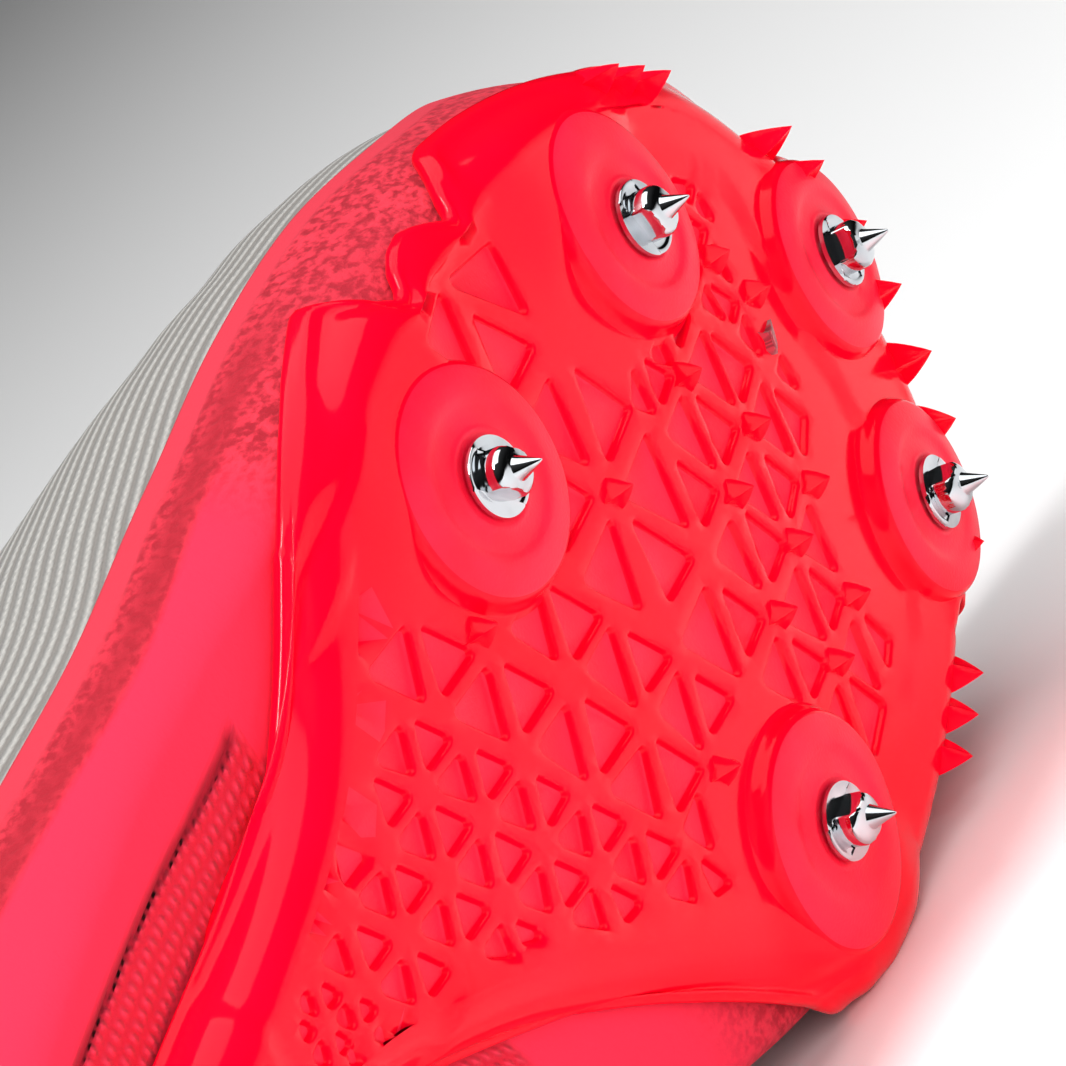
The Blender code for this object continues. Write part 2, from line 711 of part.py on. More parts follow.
def plate_drop(u, side, girth):
    """How far the plate hangs under the arch: all of it on the tread, none at its edge."""
    corner, edge = plate_corner(u, side), plate_edge(u, side)
    point = shell(u, side, girth)
    return arch(point.x) * (1 - ease((girth - corner) / (edge - corner)))


def make_plate():
    """The moulded plate: a dish with its rim, wings, notches, pads and rim teeth."""
    plate = sheet("plate", station_at(PLATE_FROM), 1.0, plate_girths, plate_lift(), plate_drop)
    thicken(plate, PLATE_THICKNESS, True)
    apply_modifiers(plate)
    combine(plate, [make_notch(*notch) for notch in NOTCHES], "DIFFERENCE")
    combine(plate, [make_rim_tooth(*tooth) for tooth in RIM_TEETH], "UNION")
    combine(plate, [make_pockets()], "DIFFERENCE")
    combine(plate, [make_node_tooth(*tooth) for tooth in NODE_TEETH], "UNION")
    combine(plate, [make_pad(name) for name in SPIKES], "UNION")
    dress(plate, "gloss_red", 35.0)
    return plate


def open_edge(u, _side):
    """Girth of the upper's edge at the collar and the throat."""
    return min(station(u)["open"], RIDGE)


def make_upper():
    """The knitted upper: one thin wall, open at the collar and throat and along the sole."""
    upper = sheet("upper", 0.0, 1.0, clipped_girths(lambda u, _side: station(u)["flange"], open_edge), 0.0)
    thicken(upper, UPPER_WALL, False)
    apply_modifiers(upper)
    combine(upper, [eyelet_punch(*spot) for spot in eyelet_spots()], "DIFFERENCE")
    dress(upper, "knit_grey")
    return upper


def make_guard():
    """The suede guard round the toe, sides and heel, from beside the plate up to its own edge."""
    def top(u, side):
        return min(station(u)["guard"], open_edge(u, side) - GUARD_SETBACK)

    def root(u, side):
        heel = ease((WEDGE_TO + GUARD_FADE - station(u)["along"]) / GUARD_FADE)
        return min(plate_edge(u, side) + GUARD_ROOT_GIRTH + heel, FEATHER)

    guard = sheet("guard", 0.0, 1.0, clipped_girths(root, top), CLEARANCE)
    thicken(guard, GUARD_THICKNESS, True)
    apply_modifiers(guard)
    dress(guard, "suede_red")
    return guard


def make_insole():
    """The sock liner that lies on the upper's lasting margin and the plate."""
    insole = sheet("insole", 0.0, 1.0, lambda _u, _side: INSOLE_GIRTHS, -(UPPER_WALL + CLEARANCE))
    thicken(insole, INSOLE_THICKNESS, False)
    apply_modifiers(insole)
    dress(insole, "lining_red")
    return insole


def throat_stations():
    """The stations of the eyelet rows, from the toe end of the throat to its top."""
    front, back = (station_at(along) for along in EYELET_SPAN)
    return [front + (back - front) * k / (EYELET_ROWS - 1) for k in range(EYELET_ROWS)]


def outward_normal(u, side, girth):
    """The normal of the shell, out of the foot."""
    run = shell(u + STATION_STEP, side, girth) - shell(u - STATION_STEP, side, girth)
    climb = shell(u, side, girth) - shell(u, side, girth - GIRTH_STEP)
    normal = run.cross(climb).normalized()
    return normal if side == LATERAL else -normal


def eyelet_spots():
    """Station, side and girth of each eyelet, row by row, lateral then medial."""
    spots = []
    for u in throat_stations():
        for side in (LATERAL, MEDIAL):
            edge = open_edge(u, side)
            width = (shell(u, side, edge) - shell(u, side, edge - GIRTH_STEP)).length
            spots.append((u, side, edge - GIRTH_STEP * EYELET_INSET / width))
    return spots


def eyelet_punch(u, side, girth):
    """The cutter of one eyelet."""
    place, axis = shell(u, side, girth), outward_normal(u, side, girth)
    reach = 3 * UPPER_WALL
    profile = ((0.0, -reach), (EYELET_RADIUS, -reach), (EYELET_RADIUS, reach), (0.0, reach))
    return turned("punch", profile, EYELET_SEGMENTS, place, axis)


def make_lace():
    """The flat lace: crossed bars from eyelet to eyelet, joined where they meet."""
    spots = eyelet_spots()
    bars = [(spots[0], spots[1], LACE_STAGGER / 2)]
    for row in range(EYELET_ROWS - 1):
        bars.append((spots[2 * row], spots[2 * row + 3], 0.0))
        bars.append((spots[2 * row + 1], spots[2 * row + 2], LACE_STAGGER))
    lace = lace_bar(*bars[0])
    for bar in bars[1:]:
        combine(lace, [lace_bar(*bar)], "UNION")
    lace.name = "lace"
    dress(lace, "lace_orange")
    return lace


def lace_point(start, end, share):
    """A point of the shell on the way from one eyelet over the ridge to another, and its normal."""
    (u1, side, girth1), (u2, other, girth2) = start, end
    u = u1 + (u2 - u1) * share
    climb = (RIDGE - girth1) + (RIDGE - girth2)
    girth = girth1 + climb * share
    if girth > RIDGE:
        side, girth = other, 2 * RIDGE - girth
    normal = outward_normal(u, side, girth)
    if RIDGE - girth < RIDGE_BLEND:
        normal = (normal + outward_normal(u, -side, girth)).normalized()
    return shell(u, side, girth), normal


def lace_bar(start, end, stagger):
    """One flat bar of lace, laid over the instep between two eyelets, raised by the stagger."""
    points, normals = zip(*[lace_point(start, end, k / LACE_STEPS) for k in range(LACE_STEPS + 1)])
    mesh = bmesh.new()
    rings = []
    for k, (point, normal) in enumerate(zip(points, normals)):
        run = (points[min(k + 1, LACE_STEPS)] - points[max(k - 1, 0)]).normalized()
        reach = run * LACE_WIDTH / 2 * (-1 if k == 0 else 1 if k == LACE_STEPS else 0)
        low = point + reach + normal * (LACE_CLEARANCE + stagger)
        high = low + normal * LACE_THICKNESS
        side = run.cross(normal).normalized() * LACE_WIDTH / 2
        rings.append([mesh.verts.new(p) for p in (low - side, low + side, high + side, high - side)])
    for one, two in zip(rings, rings[1:]):
        for k in range(4):
            n = (k + 1) % 4
            mesh.faces.new([one[k], one[n], two[n], two[k]])
    mesh.faces.new(rings[0][::-1])
    mesh.faces.new(rings[-1])
    bmesh.ops.recalc_face_normals(mesh, faces=mesh.faces)
    return finish("bar", mesh)


def make_tongue():
    """The padded tongue under the throat, standing a little above the top eyelets."""
    girths = clipped_girths(lambda _u, _side: TONGUE_GIRTH, lambda _u, _side: RIDGE)
    top, root = (station_at(along) for along in TONGUE_SPAN)
    tongue = sheet("tongue", top, root, girths, -(UPPER_WALL + TONGUE_CLEARANCE))
    thicken(tongue, TONGUE_THICKNESS, False)
    apply_modifiers(tongue)
    dress(tongue, "knit_grey")
    return tongue


def wedge_edge(u, side, top, low):
    """Half a section of the wedge, from the spine's top out round the flared edge to its foot."""
    spine, feather = shell(u, side, 0.0), shell(u, side, FEATHER)
    out = shell(u, side, WIDEST) - feather
    out.z = 0.0
    out.normalize()
    drop = top - low
    flare, fall, foot_share = WEDGE_EDGE_SHARES
    edge = (
        (0.0, top), (flare * WEDGE_FLARE, top - fall * drop),
        (WEDGE_FLARE, low + min(WEDGE_EDGE_RISE, foot_share * drop)), (WEDGE_FLARE - WEDGE_EDGE_RISE, low),
    )
    foot = Vector((feather.x, feather.y, 0.0))
    ring = [foot + out * reach + Vector((0.0, 0.0, height)) for reach, height in edge]
    return [Vector((spine.x, spine.y, top)), *ring, Vector((spine.x, spine.y, low))]


def make_wedge():
    """The foam wedge from the waist to the heel, flat on the floor under the heel."""
    floor = floor_height()
    last_u = station_at(WEDGE_TO)
    lift = plate_lift()
    rings = []
    for u in stations_between(0.0, last_u):
        share = (station(u)["along"] - WEDGE_FLAT_FROM) / (WEDGE_TO - WEDGE_FLAT_FROM)
        taper = ease(share)
        spine = shell(u, LATERAL, 0.0)
        top = spine.z - lift
        low = floor + (top - WEDGE_NOSE - floor) * taper
        rings.append({side: wedge_edge(u, side, top, low) for side in (LATERAL, MEDIAL)})
    mesh = bmesh.new()
    for side in (LATERAL, MEDIAL):
        made = [[mesh.verts.new(p) for p in ring[side]] for ring in rings]
        for one, two in zip(made, made[1:]):
            for k in range(len(one) - 1):
                mesh.faces.new([one[k], one[k + 1], two[k + 1], two[k]])
        mesh.faces.new(made[-1])
    bmesh.ops.remove_doubles(mesh, verts=mesh.verts, dist=2e-5)
    bmesh.ops.dissolve_degenerate(mesh, edges=mesh.edges, dist=1e-6)
    bmesh.ops.recalc_face_normals(mesh, faces=mesh.faces)
    wedge = finish("heel_wedge", mesh)
    dress(wedge, "foam_grey")
    return wedge


def balance_point(pieces):
    """Centre of mass of the shoe, from the volume and density of each piece."""
    mass, moment = 0.0, Vector()
    for obj in pieces:
        density = DENSITIES.get(obj.data.materials[0].name, OTHER_DENSITY)
        obj.data.calc_loop_triangles()
        for triangle in obj.data.loop_triangles:
            a, b, c = (obj.data.vertices[k].co for k in triangle.vertices)
            share = density * a.dot(b.cross(c)) / 6
            mass += share
            moment += (a + b + c) * share / 4
    return moment / mass


def resting_normal(pieces):
    """Outward normal of the medial facet of the hull that the shoe rests on, lowest balance first."""
    balance = balance_point(pieces)
    hull = bmesh.new()
    for obj in pieces:
        for vertex in obj.data.vertices:
            hull.verts.new(vertex.co)
    bmesh.ops.convex_hull(hull, input=hull.verts)
    hull.normal_update()
    best = None
    for face in hull.faces:
        if face.normal.y < MEDIAL_FACET:
            continue
        corners = [v.co for v in face.verts]
        height = face.normal.dot(corners[0] - balance)
        below = balance + face.normal * height
        turns = [
            face.normal.dot((b - a).cross(below - a)) for a, b in zip(corners, (*corners[1:], corners[0]))
        ]
        if all(turn > 0 for turn in turns) and (best is None or height < best[0]):
            best = (height, face.normal.copy())
    hull.free()
    return best[1]


def lay_on_side(pieces):
    """Lay the shoe on its medial side, toe along +X, with the middle of its box on the origin."""
    down = resting_normal(pieces)
    toe = (Vector((1.0, 0.0, 0.0)) - down * down.x).normalized()
    across = (-down).cross(toe)
    turn = Matrix((toe, across, -down)).to_4x4()
    for obj in pieces:
        obj.data.transform(turn)
    points = np.array([vertex.co for obj in pieces for vertex in obj.data.vertices])
    low, high = points.min(0), points.max(0)
    shift = Vector((-(low[0] + high[0]) / 2, -(low[1] + high[1]) / 2, -low[2]))
    for obj in pieces:
        obj.data.transform(Matrix.Translation(shift))


def main():
    """Build the shoe."""
    clear_scene()
    pieces = [make_upper(), make_guard(), make_plate(), make_wedge()]
    pieces += [make_insole(), make_tongue(), make_lace()]
    pieces += [make_spike(name) for name in SPIKES]
    lay_on_side(pieces)


main()
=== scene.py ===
"""Looks of a right track spike shoe that lies empty on its medial side.

Each sub-assembly is a class. Its surfaces are worked out in the frame of the last, where +X points
to the toe, +Y to the medial side and +Z up out of the sole, with x = 0 at the ball line, and are
then put into the row frame by Placement. Lengths are metres unless a name says millimetres.
"""

import json
import logging
import math
from collections.abc import Callable
from dataclasses import dataclass, field
from enum import Enum

import bmesh
import bpy
import numpy as np
from mathutils import Matrix, Vector
from mathutils.geometry import delaunay_2d_cdt

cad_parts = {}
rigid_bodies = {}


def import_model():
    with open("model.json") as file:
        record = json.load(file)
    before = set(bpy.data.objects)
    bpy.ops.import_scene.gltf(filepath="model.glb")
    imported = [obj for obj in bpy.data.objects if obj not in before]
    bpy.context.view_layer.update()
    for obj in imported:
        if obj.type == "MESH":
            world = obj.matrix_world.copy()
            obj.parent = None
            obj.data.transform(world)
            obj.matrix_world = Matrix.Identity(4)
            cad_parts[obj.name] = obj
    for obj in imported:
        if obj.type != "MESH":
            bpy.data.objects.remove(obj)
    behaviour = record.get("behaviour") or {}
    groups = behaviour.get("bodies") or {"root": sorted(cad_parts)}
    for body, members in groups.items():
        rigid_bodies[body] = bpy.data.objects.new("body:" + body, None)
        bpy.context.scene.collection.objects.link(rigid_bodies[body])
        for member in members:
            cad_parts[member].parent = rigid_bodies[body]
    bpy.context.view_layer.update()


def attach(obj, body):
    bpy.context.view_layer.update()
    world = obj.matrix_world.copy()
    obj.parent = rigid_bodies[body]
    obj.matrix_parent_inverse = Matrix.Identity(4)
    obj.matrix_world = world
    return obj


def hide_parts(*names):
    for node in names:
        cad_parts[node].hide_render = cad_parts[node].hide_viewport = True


LOG = logging.getLogger("track_spike")
MM = 0.001

# Girths of the feather edge, the widest line and the ridge of the instep
FEATHER = 1.0
WIDEST = 2.0
RIDGE = 3.0

# Steps in station and girth over which directions on the shell are taken
STATION_STEP = 0.01
GIRTH_STEP = 0.1

# The plate's clear height over the shell and its wall, and how far a pad stands over its tread
PLATE_LIFT = 0.0017
PLATE_WALL = 0.0022
PAD_RISE = 0.0030

# Station shares between which the eyelet rows run, and that the tongue spans
EYELET_SPAN = (0.66, 0.385)
TONGUE_SPAN = (0.325, 0.675)


class Side(Enum):
    """The two sides of the shoe, with the sign of Y on each."""

    MEDIAL = 1
    LATERAL = -1


SIDES = (Side.LATERAL, Side.MEDIAL)


@dataclass(frozen=True)
class Placement:
    """Where the frame of the last lies in the row frame."""

    turn: tuple = (
        (0.99062314, 0.13452974, -0.02382321),
        (0.0, 0.17437221, 0.98467981),
        (0.13662282, -0.97544661, 0.17273715),
    )
    shift: tuple = (0.05977605, -0.05188464, 0.04995189)

    def point(self, points: np.ndarray) -> np.ndarray:
        """Points of the last's frame in the row frame."""
        return np.asarray(points) @ np.array(self.turn).T + np.array(self.shift)

    def direction(self, directions: np.ndarray) -> np.ndarray:
        """Directions of the last's frame in the row frame."""
        return np.asarray(directions) @ np.array(self.turn).T


PLACE = Placement()


def ease(share: np.ndarray) -> np.ndarray:
    """A share held between 0 and 1 and eased at both ends, as 3s^2 - 2s^3."""
    held = np.clip(share, 0.0, 1.0)
    return held * held * (3 - 2 * held)


def unit(vectors: np.ndarray) -> np.ndarray:
    """Vectors scaled to length 1."""
    size = np.linalg.norm(vectors, axis=-1, keepdims=True)
    return vectors / np.maximum(size, 1e-12)


def bell(values: np.ndarray, centre: float, width: float) -> np.ndarray:
    """A smooth bump of height 1 round a centre, as exp(-(d/width)^2)."""
    return np.exp(-(((values - centre) / width) ** 2))


COLUMNS = (
    "along", "medial", "lateral", "spine", "ridge", "crown", "medial_inset",
    "open", "guard", "flange", "plate_medial", "plate_lateral",
)
STATIONS = (
    (0.000, 0.000, 0.000, 0.00, 0.00, 1.24, 1.0, 2.42, 2.42, 0.70, 0.20, 0.20),
    (0.012, 0.270, 0.270, 0.00, 0.00, 1.24, 1.0, 2.41, 2.41, 0.70, 0.20, 0.20),
    (0.045, 0.500, 0.500, 0.00, 0.00, 1.24, 1.0, 2.38, 2.38, 0.70, 0.20, 0.20),
    (0.105, 0.655, 0.655, 0.00, 0.00, 1.23, 1.0, 2.32, 2.32, 0.70, 0.20, 0.20),
    (0.190, 0.710, 0.710, -0.06, 0.02, 1.20, 1.0, 2.27, 2.16, 0.70, 0.20, 0.20),
    (0.280, 0.685, 0.750, -0.18, 0.04, 1.17, 1.0, 2.32, 2.05, 0.60, 0.20, 0.20),
    (0.370, 0.635, 0.820, -0.29, 0.07, 1.11, 1.0, 2.58, 1.98, 0.20, 0.24, 0.26),
    (0.460, 0.630, 0.900, -0.33, 0.09, 1.03, 1.0, 2.80, 1.86, 0.20, 0.25, 0.25),
    (0.550, 0.730, 0.965, -0.25, 0.10, 0.96, 0.8, 2.82, 1.76, 0.30, 0.46, 0.55),
    (0.635, 0.945, 1.000, -0.08, 0.10, 0.86, 0.6, 2.84, 1.88, 0.70, 0.73, 1.14),
    (0.715, 1.085, 1.030, 0.00, 0.10, 0.755, 0.4, 3.00, 1.92, 0.85, 1.35, 1.50),
    (0.790, 1.080, 1.010, 0.03, 0.11, 0.665, 0.4, 3.00, 1.92, 0.85, 1.60, 1.50),
    (0.855, 1.035, 0.935, 0.05, 0.12, 0.605, 0.5, 3.00, 1.84, 0.85, 1.60, 1.41),
    (0.910, 0.965, 0.805, 0.06, 0.13, 0.555, 0.7, 3.00, 1.94, 0.85, 1.50, 1.34),
    (0.955, 0.800, 0.620, 0.06, 0.12, 0.515, 0.9, 3.00, 2.14, 0.85, 1.50, 1.35),
    (0.985, 0.540, 0.355, 0.07, 0.08, 0.490, 1.0, 3.00, 2.34, 0.85, 1.50, 1.44),
    (1.000, 0.000, 0.000, 0.03, 0.06, 0.475, 1.0, 3.00, 2.42, 0.85, 1.50, 1.50),
)


@dataclass(frozen=True)
class Last:
    """The shell of the last, as the part's source has it, worked out for whole arrays."""

    length: float = 0.284
    half_ball: float = 0.048
    instep: float = 0.0965
    ball_share: float = 0.7155
    toe_spring_radius: float = 0.357
    crown_radius: float = 0.450
    crown_centre: float = 0.004
    feather_inset: float = 0.0070
    widest_rise: float = 0.0180
    ridge_spread: float = 0.86
    spine_spread: float = 0.80
    middle_share: float = 0.47
    fullness: float = 2.75
    arch_rise: float = 0.0060
    arch_from: float = 0.010
    arch_length: float = 0.055
    heel_rise: float = 0.0050
    heel_from: float = 0.085
    heel_length: float = 0.070
    ball_stack: float = 0.0141
    crown_fade: float = 0.45

    def rows(self, u: np.ndarray) -> dict[str, np.ndarray]:
        """Columns of the station table at u, as a Catmull-Rom curve mirrored at its ends."""
        table = np.array(STATIONS)
        flip = np.array([-1.0 if name in ("medial", "lateral") else 1.0 for name in COLUMNS])
        padded = np.vstack([table[1] * flip, table, table[-2] * flip])
        place = np.clip(u, 0.0, 1.0) * (len(table) - 1)
        i = np.minimum(place.astype(int), len(table) - 2)
        t = (place - i)[..., None]
        a, b, c, d = (padded[i + k] for k in range(4))
        value = 0.5 * (
            2 * b + (c - a) * t + (2 * a - 5 * b + 4 * c - d) * t**2 + (3 * b - a - 3 * c + d) * t**3
        )
        return {name: value[..., k] for k, name in enumerate(COLUMNS)}

    def station_at(self, along: np.ndarray) -> np.ndarray:
        """The u whose station lies at this share of the length, by looking it up in a fine table."""
        fine = np.linspace(0.0, 1.0, 4001)
        return np.interp(along, self.rows(fine)["along"], fine)

    def forward(self, along: np.ndarray) -> np.ndarray:
        """X of a share of the length."""
        return (along - self.ball_share) * self.length

    def arch(self, x: np.ndarray) -> np.ndarray:
        """How far the upper's underside stands over the level tread behind the ball."""
        waist = self.arch_rise * ease((-x - self.arch_from) / self.arch_length)
        return waist - (self.arch_rise - self.heel_rise) * ease((-x - self.heel_from) / self.heel_length)

    def level(self, x: np.ndarray, y: np.ndarray) -> np.ndarray:
        """Height of the tread's carrier: a toe spring, plus a crown across that fades to the heel."""
        spring = np.maximum(x, 0.0) ** 2 / (2 * self.toe_spring_radius)
        crown = (y - self.crown_centre) ** 2 / (2 * self.crown_radius)
        return self.ball_stack + spring + crown * (1 - ease(-x / (self.crown_fade * self.length)))

    def squeeze(self, x: np.ndarray, spread: float) -> np.ndarray:
        """X drawn in towards the middle of the shoe."""
        middle = self.forward(self.middle_share)
        return middle + (x - middle) * spread

    def shell(self, u: np.ndarray, side: Side, girth: np.ndarray) -> np.ndarray:
        """Points of the shell: from the spine (0) straight to the feather edge (1), a quarter
        ellipse up to the widest line (2), and a quarter superellipse over to the ridge (3).

        Args:
            u: Stations, 0 at the heel and 1 at the toe.
            side: The side of the shoe.
            girth: Girths, of a shape that goes with u.

        Returns:
            An array of points.
        """
        u, girth = np.broadcast_arrays(np.asarray(u, float), np.asarray(girth, float))
        sign, column = side.value, side.name.lower()
        row, ahead, behind = (self.rows(u + step) for step in (0.0, STATION_STEP, -STATION_STEP))
        x = self.forward(row["along"])
        out = sign * self.half_ball * row[column]
        run = (ahead["along"] - behind["along"]) * self.length
        swing = (ahead[column] - behind[column]) * self.half_ball
        outward = np.stack([-swing, run * sign], -1)
        outward = np.where((u <= 0)[..., None], np.array([-1.0, 0.0]), outward)
        outward = unit(np.where((u >= 1)[..., None], np.array([1.0, 0.0]), outward))
        inset = self.feather_inset * (row["medial_inset"] if side is Side.MEDIAL else np.ones_like(u))
        widest = np.stack([x, out], -1)
        feather = widest - outward * inset[..., None]
        spine = np.stack([self.squeeze(x, self.spine_spread), row["spine"] * self.half_ball], -1)
        ridge = np.stack([self.squeeze(x, self.ridge_spread), row["ridge"] * self.half_ball], -1)
        low = spine + (feather - spine) * np.clip(girth, 0, 1)[..., None]
        turn = np.clip(WIDEST - girth, 0, 1) * math.pi / 2
        base = self.level(feather[..., 0], feather[..., 1]) + self.arch(feather[..., 0])
        middle = widest - outward * (inset * (1 - np.cos(turn)))[..., None]
        over = np.clip(girth - WIDEST, 0, 1) * math.pi / 2
        across, up = np.maximum(np.cos(over), 0), np.sin(over)
        reach = (across**self.fullness + up**self.fullness) ** (-1 / self.fullness)
        high = ridge + (widest - ridge) * (across * reach)[..., None]
        shoulder = base + self.widest_rise
        z_low = self.level(low[..., 0], low[..., 1]) + self.arch(low[..., 0])
        z_middle = base + self.widest_rise * (1 - np.sin(turn))
        z_high = shoulder + (row["crown"] * self.instep - shoulder) * up * reach
        under, side_wall = girth <= FEATHER, girth <= WIDEST
        flat = np.where(under[..., None], low, np.where(side_wall[..., None], middle, high))
        z = np.where(under, z_low, np.where(side_wall, z_middle, z_high))
        return np.concatenate([flat, z[..., None]], -1)

    def normal(self, u: np.ndarray, side: Side, girth: np.ndarray) -> np.ndarray:
        """Outward normals of the shell, from short steps along and over it."""
        run = self.shell(u + 0.004, side, girth) - self.shell(u - 0.004, side, girth)
        climb = self.shell(u, side, girth + 0.02) - self.shell(u, side, girth - 0.02)
        return unit(np.cross(run, climb)) * -side.value

    def even_stations(self, side: Side, first: float, last: float, step: float) -> np.ndarray:
        """Stations that lie evenly along the widest line, about one step apart."""
        fine = np.linspace(first, last, 3000)
        line = self.shell(fine, side, np.full_like(fine, WIDEST))
        run = np.concatenate([[0.0], np.cumsum(np.linalg.norm(np.diff(line, axis=0), axis=1))])
        return np.interp(np.linspace(0, run[-1], int(run[-1] / step) + 1), run, fine)


LAST = Last()


@dataclass
class Patchwork:
    """Grids and loose triangles gathered into one mesh, with UVs in millimetres and named masks."""

    name: str
    points: list = field(default_factory=list)
    faces: list = field(default_factory=list)
    uvs: list = field(default_factory=list)
    slots: list = field(default_factory=list)
    masks: dict = field(default_factory=dict)
    count: int = 0

    def add(self, points: np.ndarray, faces: np.ndarray, uv: np.ndarray | None = None,
            slot: int | np.ndarray = 0, masks: dict | None = None) -> None:
        """Add points and faces of one width.

        Args:
            points: The points, in the last's frame.
            faces: Rows of indices into the points.
            uv: A UV for each point, in millimetres, or nothing.
            slot: The material slot, one for all or one a face.
            masks: Arrays by name, one value a point.
        """
        flat = np.asarray(points).reshape(-1, 3)
        self.points.append(flat)
        self.faces += (np.asarray(faces) + self.count).tolist()
        self.uvs.append(np.zeros((len(flat), 2)) if uv is None else np.asarray(uv).reshape(-1, 2))
        self.slots.append(np.broadcast_to(slot, len(faces)))
        for key, values in (masks or {}).items():
            self.masks.setdefault(key, []).append((self.count, np.asarray(values, float).ravel()))
        self.count += len(flat)

    def add_grid(self, grid: np.ndarray, uv: np.ndarray | None = None, flip: bool = False, slot: int = 0,
                 masks: dict | None = None, closed: bool = False) -> None:
        """Add a grid of points, rows by columns; closed joins its last column to its first."""
        rows, columns = grid.shape[:2]
        here = np.arange(rows * columns).reshape(rows, columns)
        if closed:
            here = np.hstack([here, here[:, :1]])
        quads = np.stack([here[:-1, :-1], here[1:, :-1], here[1:, 1:], here[:-1, 1:]], -1).reshape(-1, 4)
        self.add(grid, quads[:, ::-1] if flip else quads, uv, slot, masks)

    def build(self, materials: list, merge: float = 2e-6, sharp: float | None = None) -> bpy.types.Object:
        """Make the object in the row frame, with doubled points merged and its faces shaded smooth.

        Args:
            materials: The materials of its slots.
            merge: The reach within which points are merged.
            sharp: The angle in degrees past which an edge stays sharp, or nothing.

        Returns:
            The object.
        """
        points = PLACE.point(np.concatenate(self.points))
        mesh = bpy.data.meshes.new(self.name)
        mesh.from_pydata(points, [], self.faces)
        mesh.polygons.foreach_set("material_index", np.concatenate(self.slots).astype(np.int32))
        corners = np.zeros(len(mesh.loops), np.int32)
        mesh.loops.foreach_get("vertex_index", corners)
        layer = mesh.uv_layers.new(name="millimetres")
        layer.data.foreach_set("uv", np.concatenate(self.uvs)[corners].astype(np.float32).ravel())
        for key, parts in self.masks.items():
            values = np.zeros(self.count, np.float32)
            for start, part in parts:
                values[start:start + len(part)] = part
            mesh.attributes.new(key, "FLOAT", "POINT").data.foreach_set("value", values)
        obj = bpy.data.objects.new(self.name, mesh)
        bpy.context.scene.collection.objects.link(obj)
        for made in materials:
            mesh.materials.append(made)
        tidy_mesh(mesh, merge)
        mesh.shade_smooth()
        if sharp is not None:
            mesh.set_sharp_from_angle(angle=math.radians(sharp))
        return obj


def tidy_mesh(mesh: bpy.types.Mesh, merge: float) -> None:
    """Merge doubled points and drop the faces that collapse."""
    work = bmesh.new()
    work.from_mesh(mesh)
    bmesh.ops.remove_doubles(work, verts=work.verts, dist=merge)
    bmesh.ops.dissolve_degenerate(work, edges=work.edges, dist=merge / 2)
    bmesh.ops.delete(work, geom=[v for v in work.verts if not v.link_faces], context="VERTS")
    work.to_mesh(mesh)
    work.free()


def report(obj: bpy.types.Object, nodes: tuple[str, ...] = ()) -> bpy.types.Object:
    """Let a finished piece ride on the shoe and the nodes it stands for, and log it."""
    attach(obj, "root")
    if nodes:
        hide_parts(*nodes)
    LOG.info("%s: %d faces", obj.name, len(obj.data.polygons))
    return obj


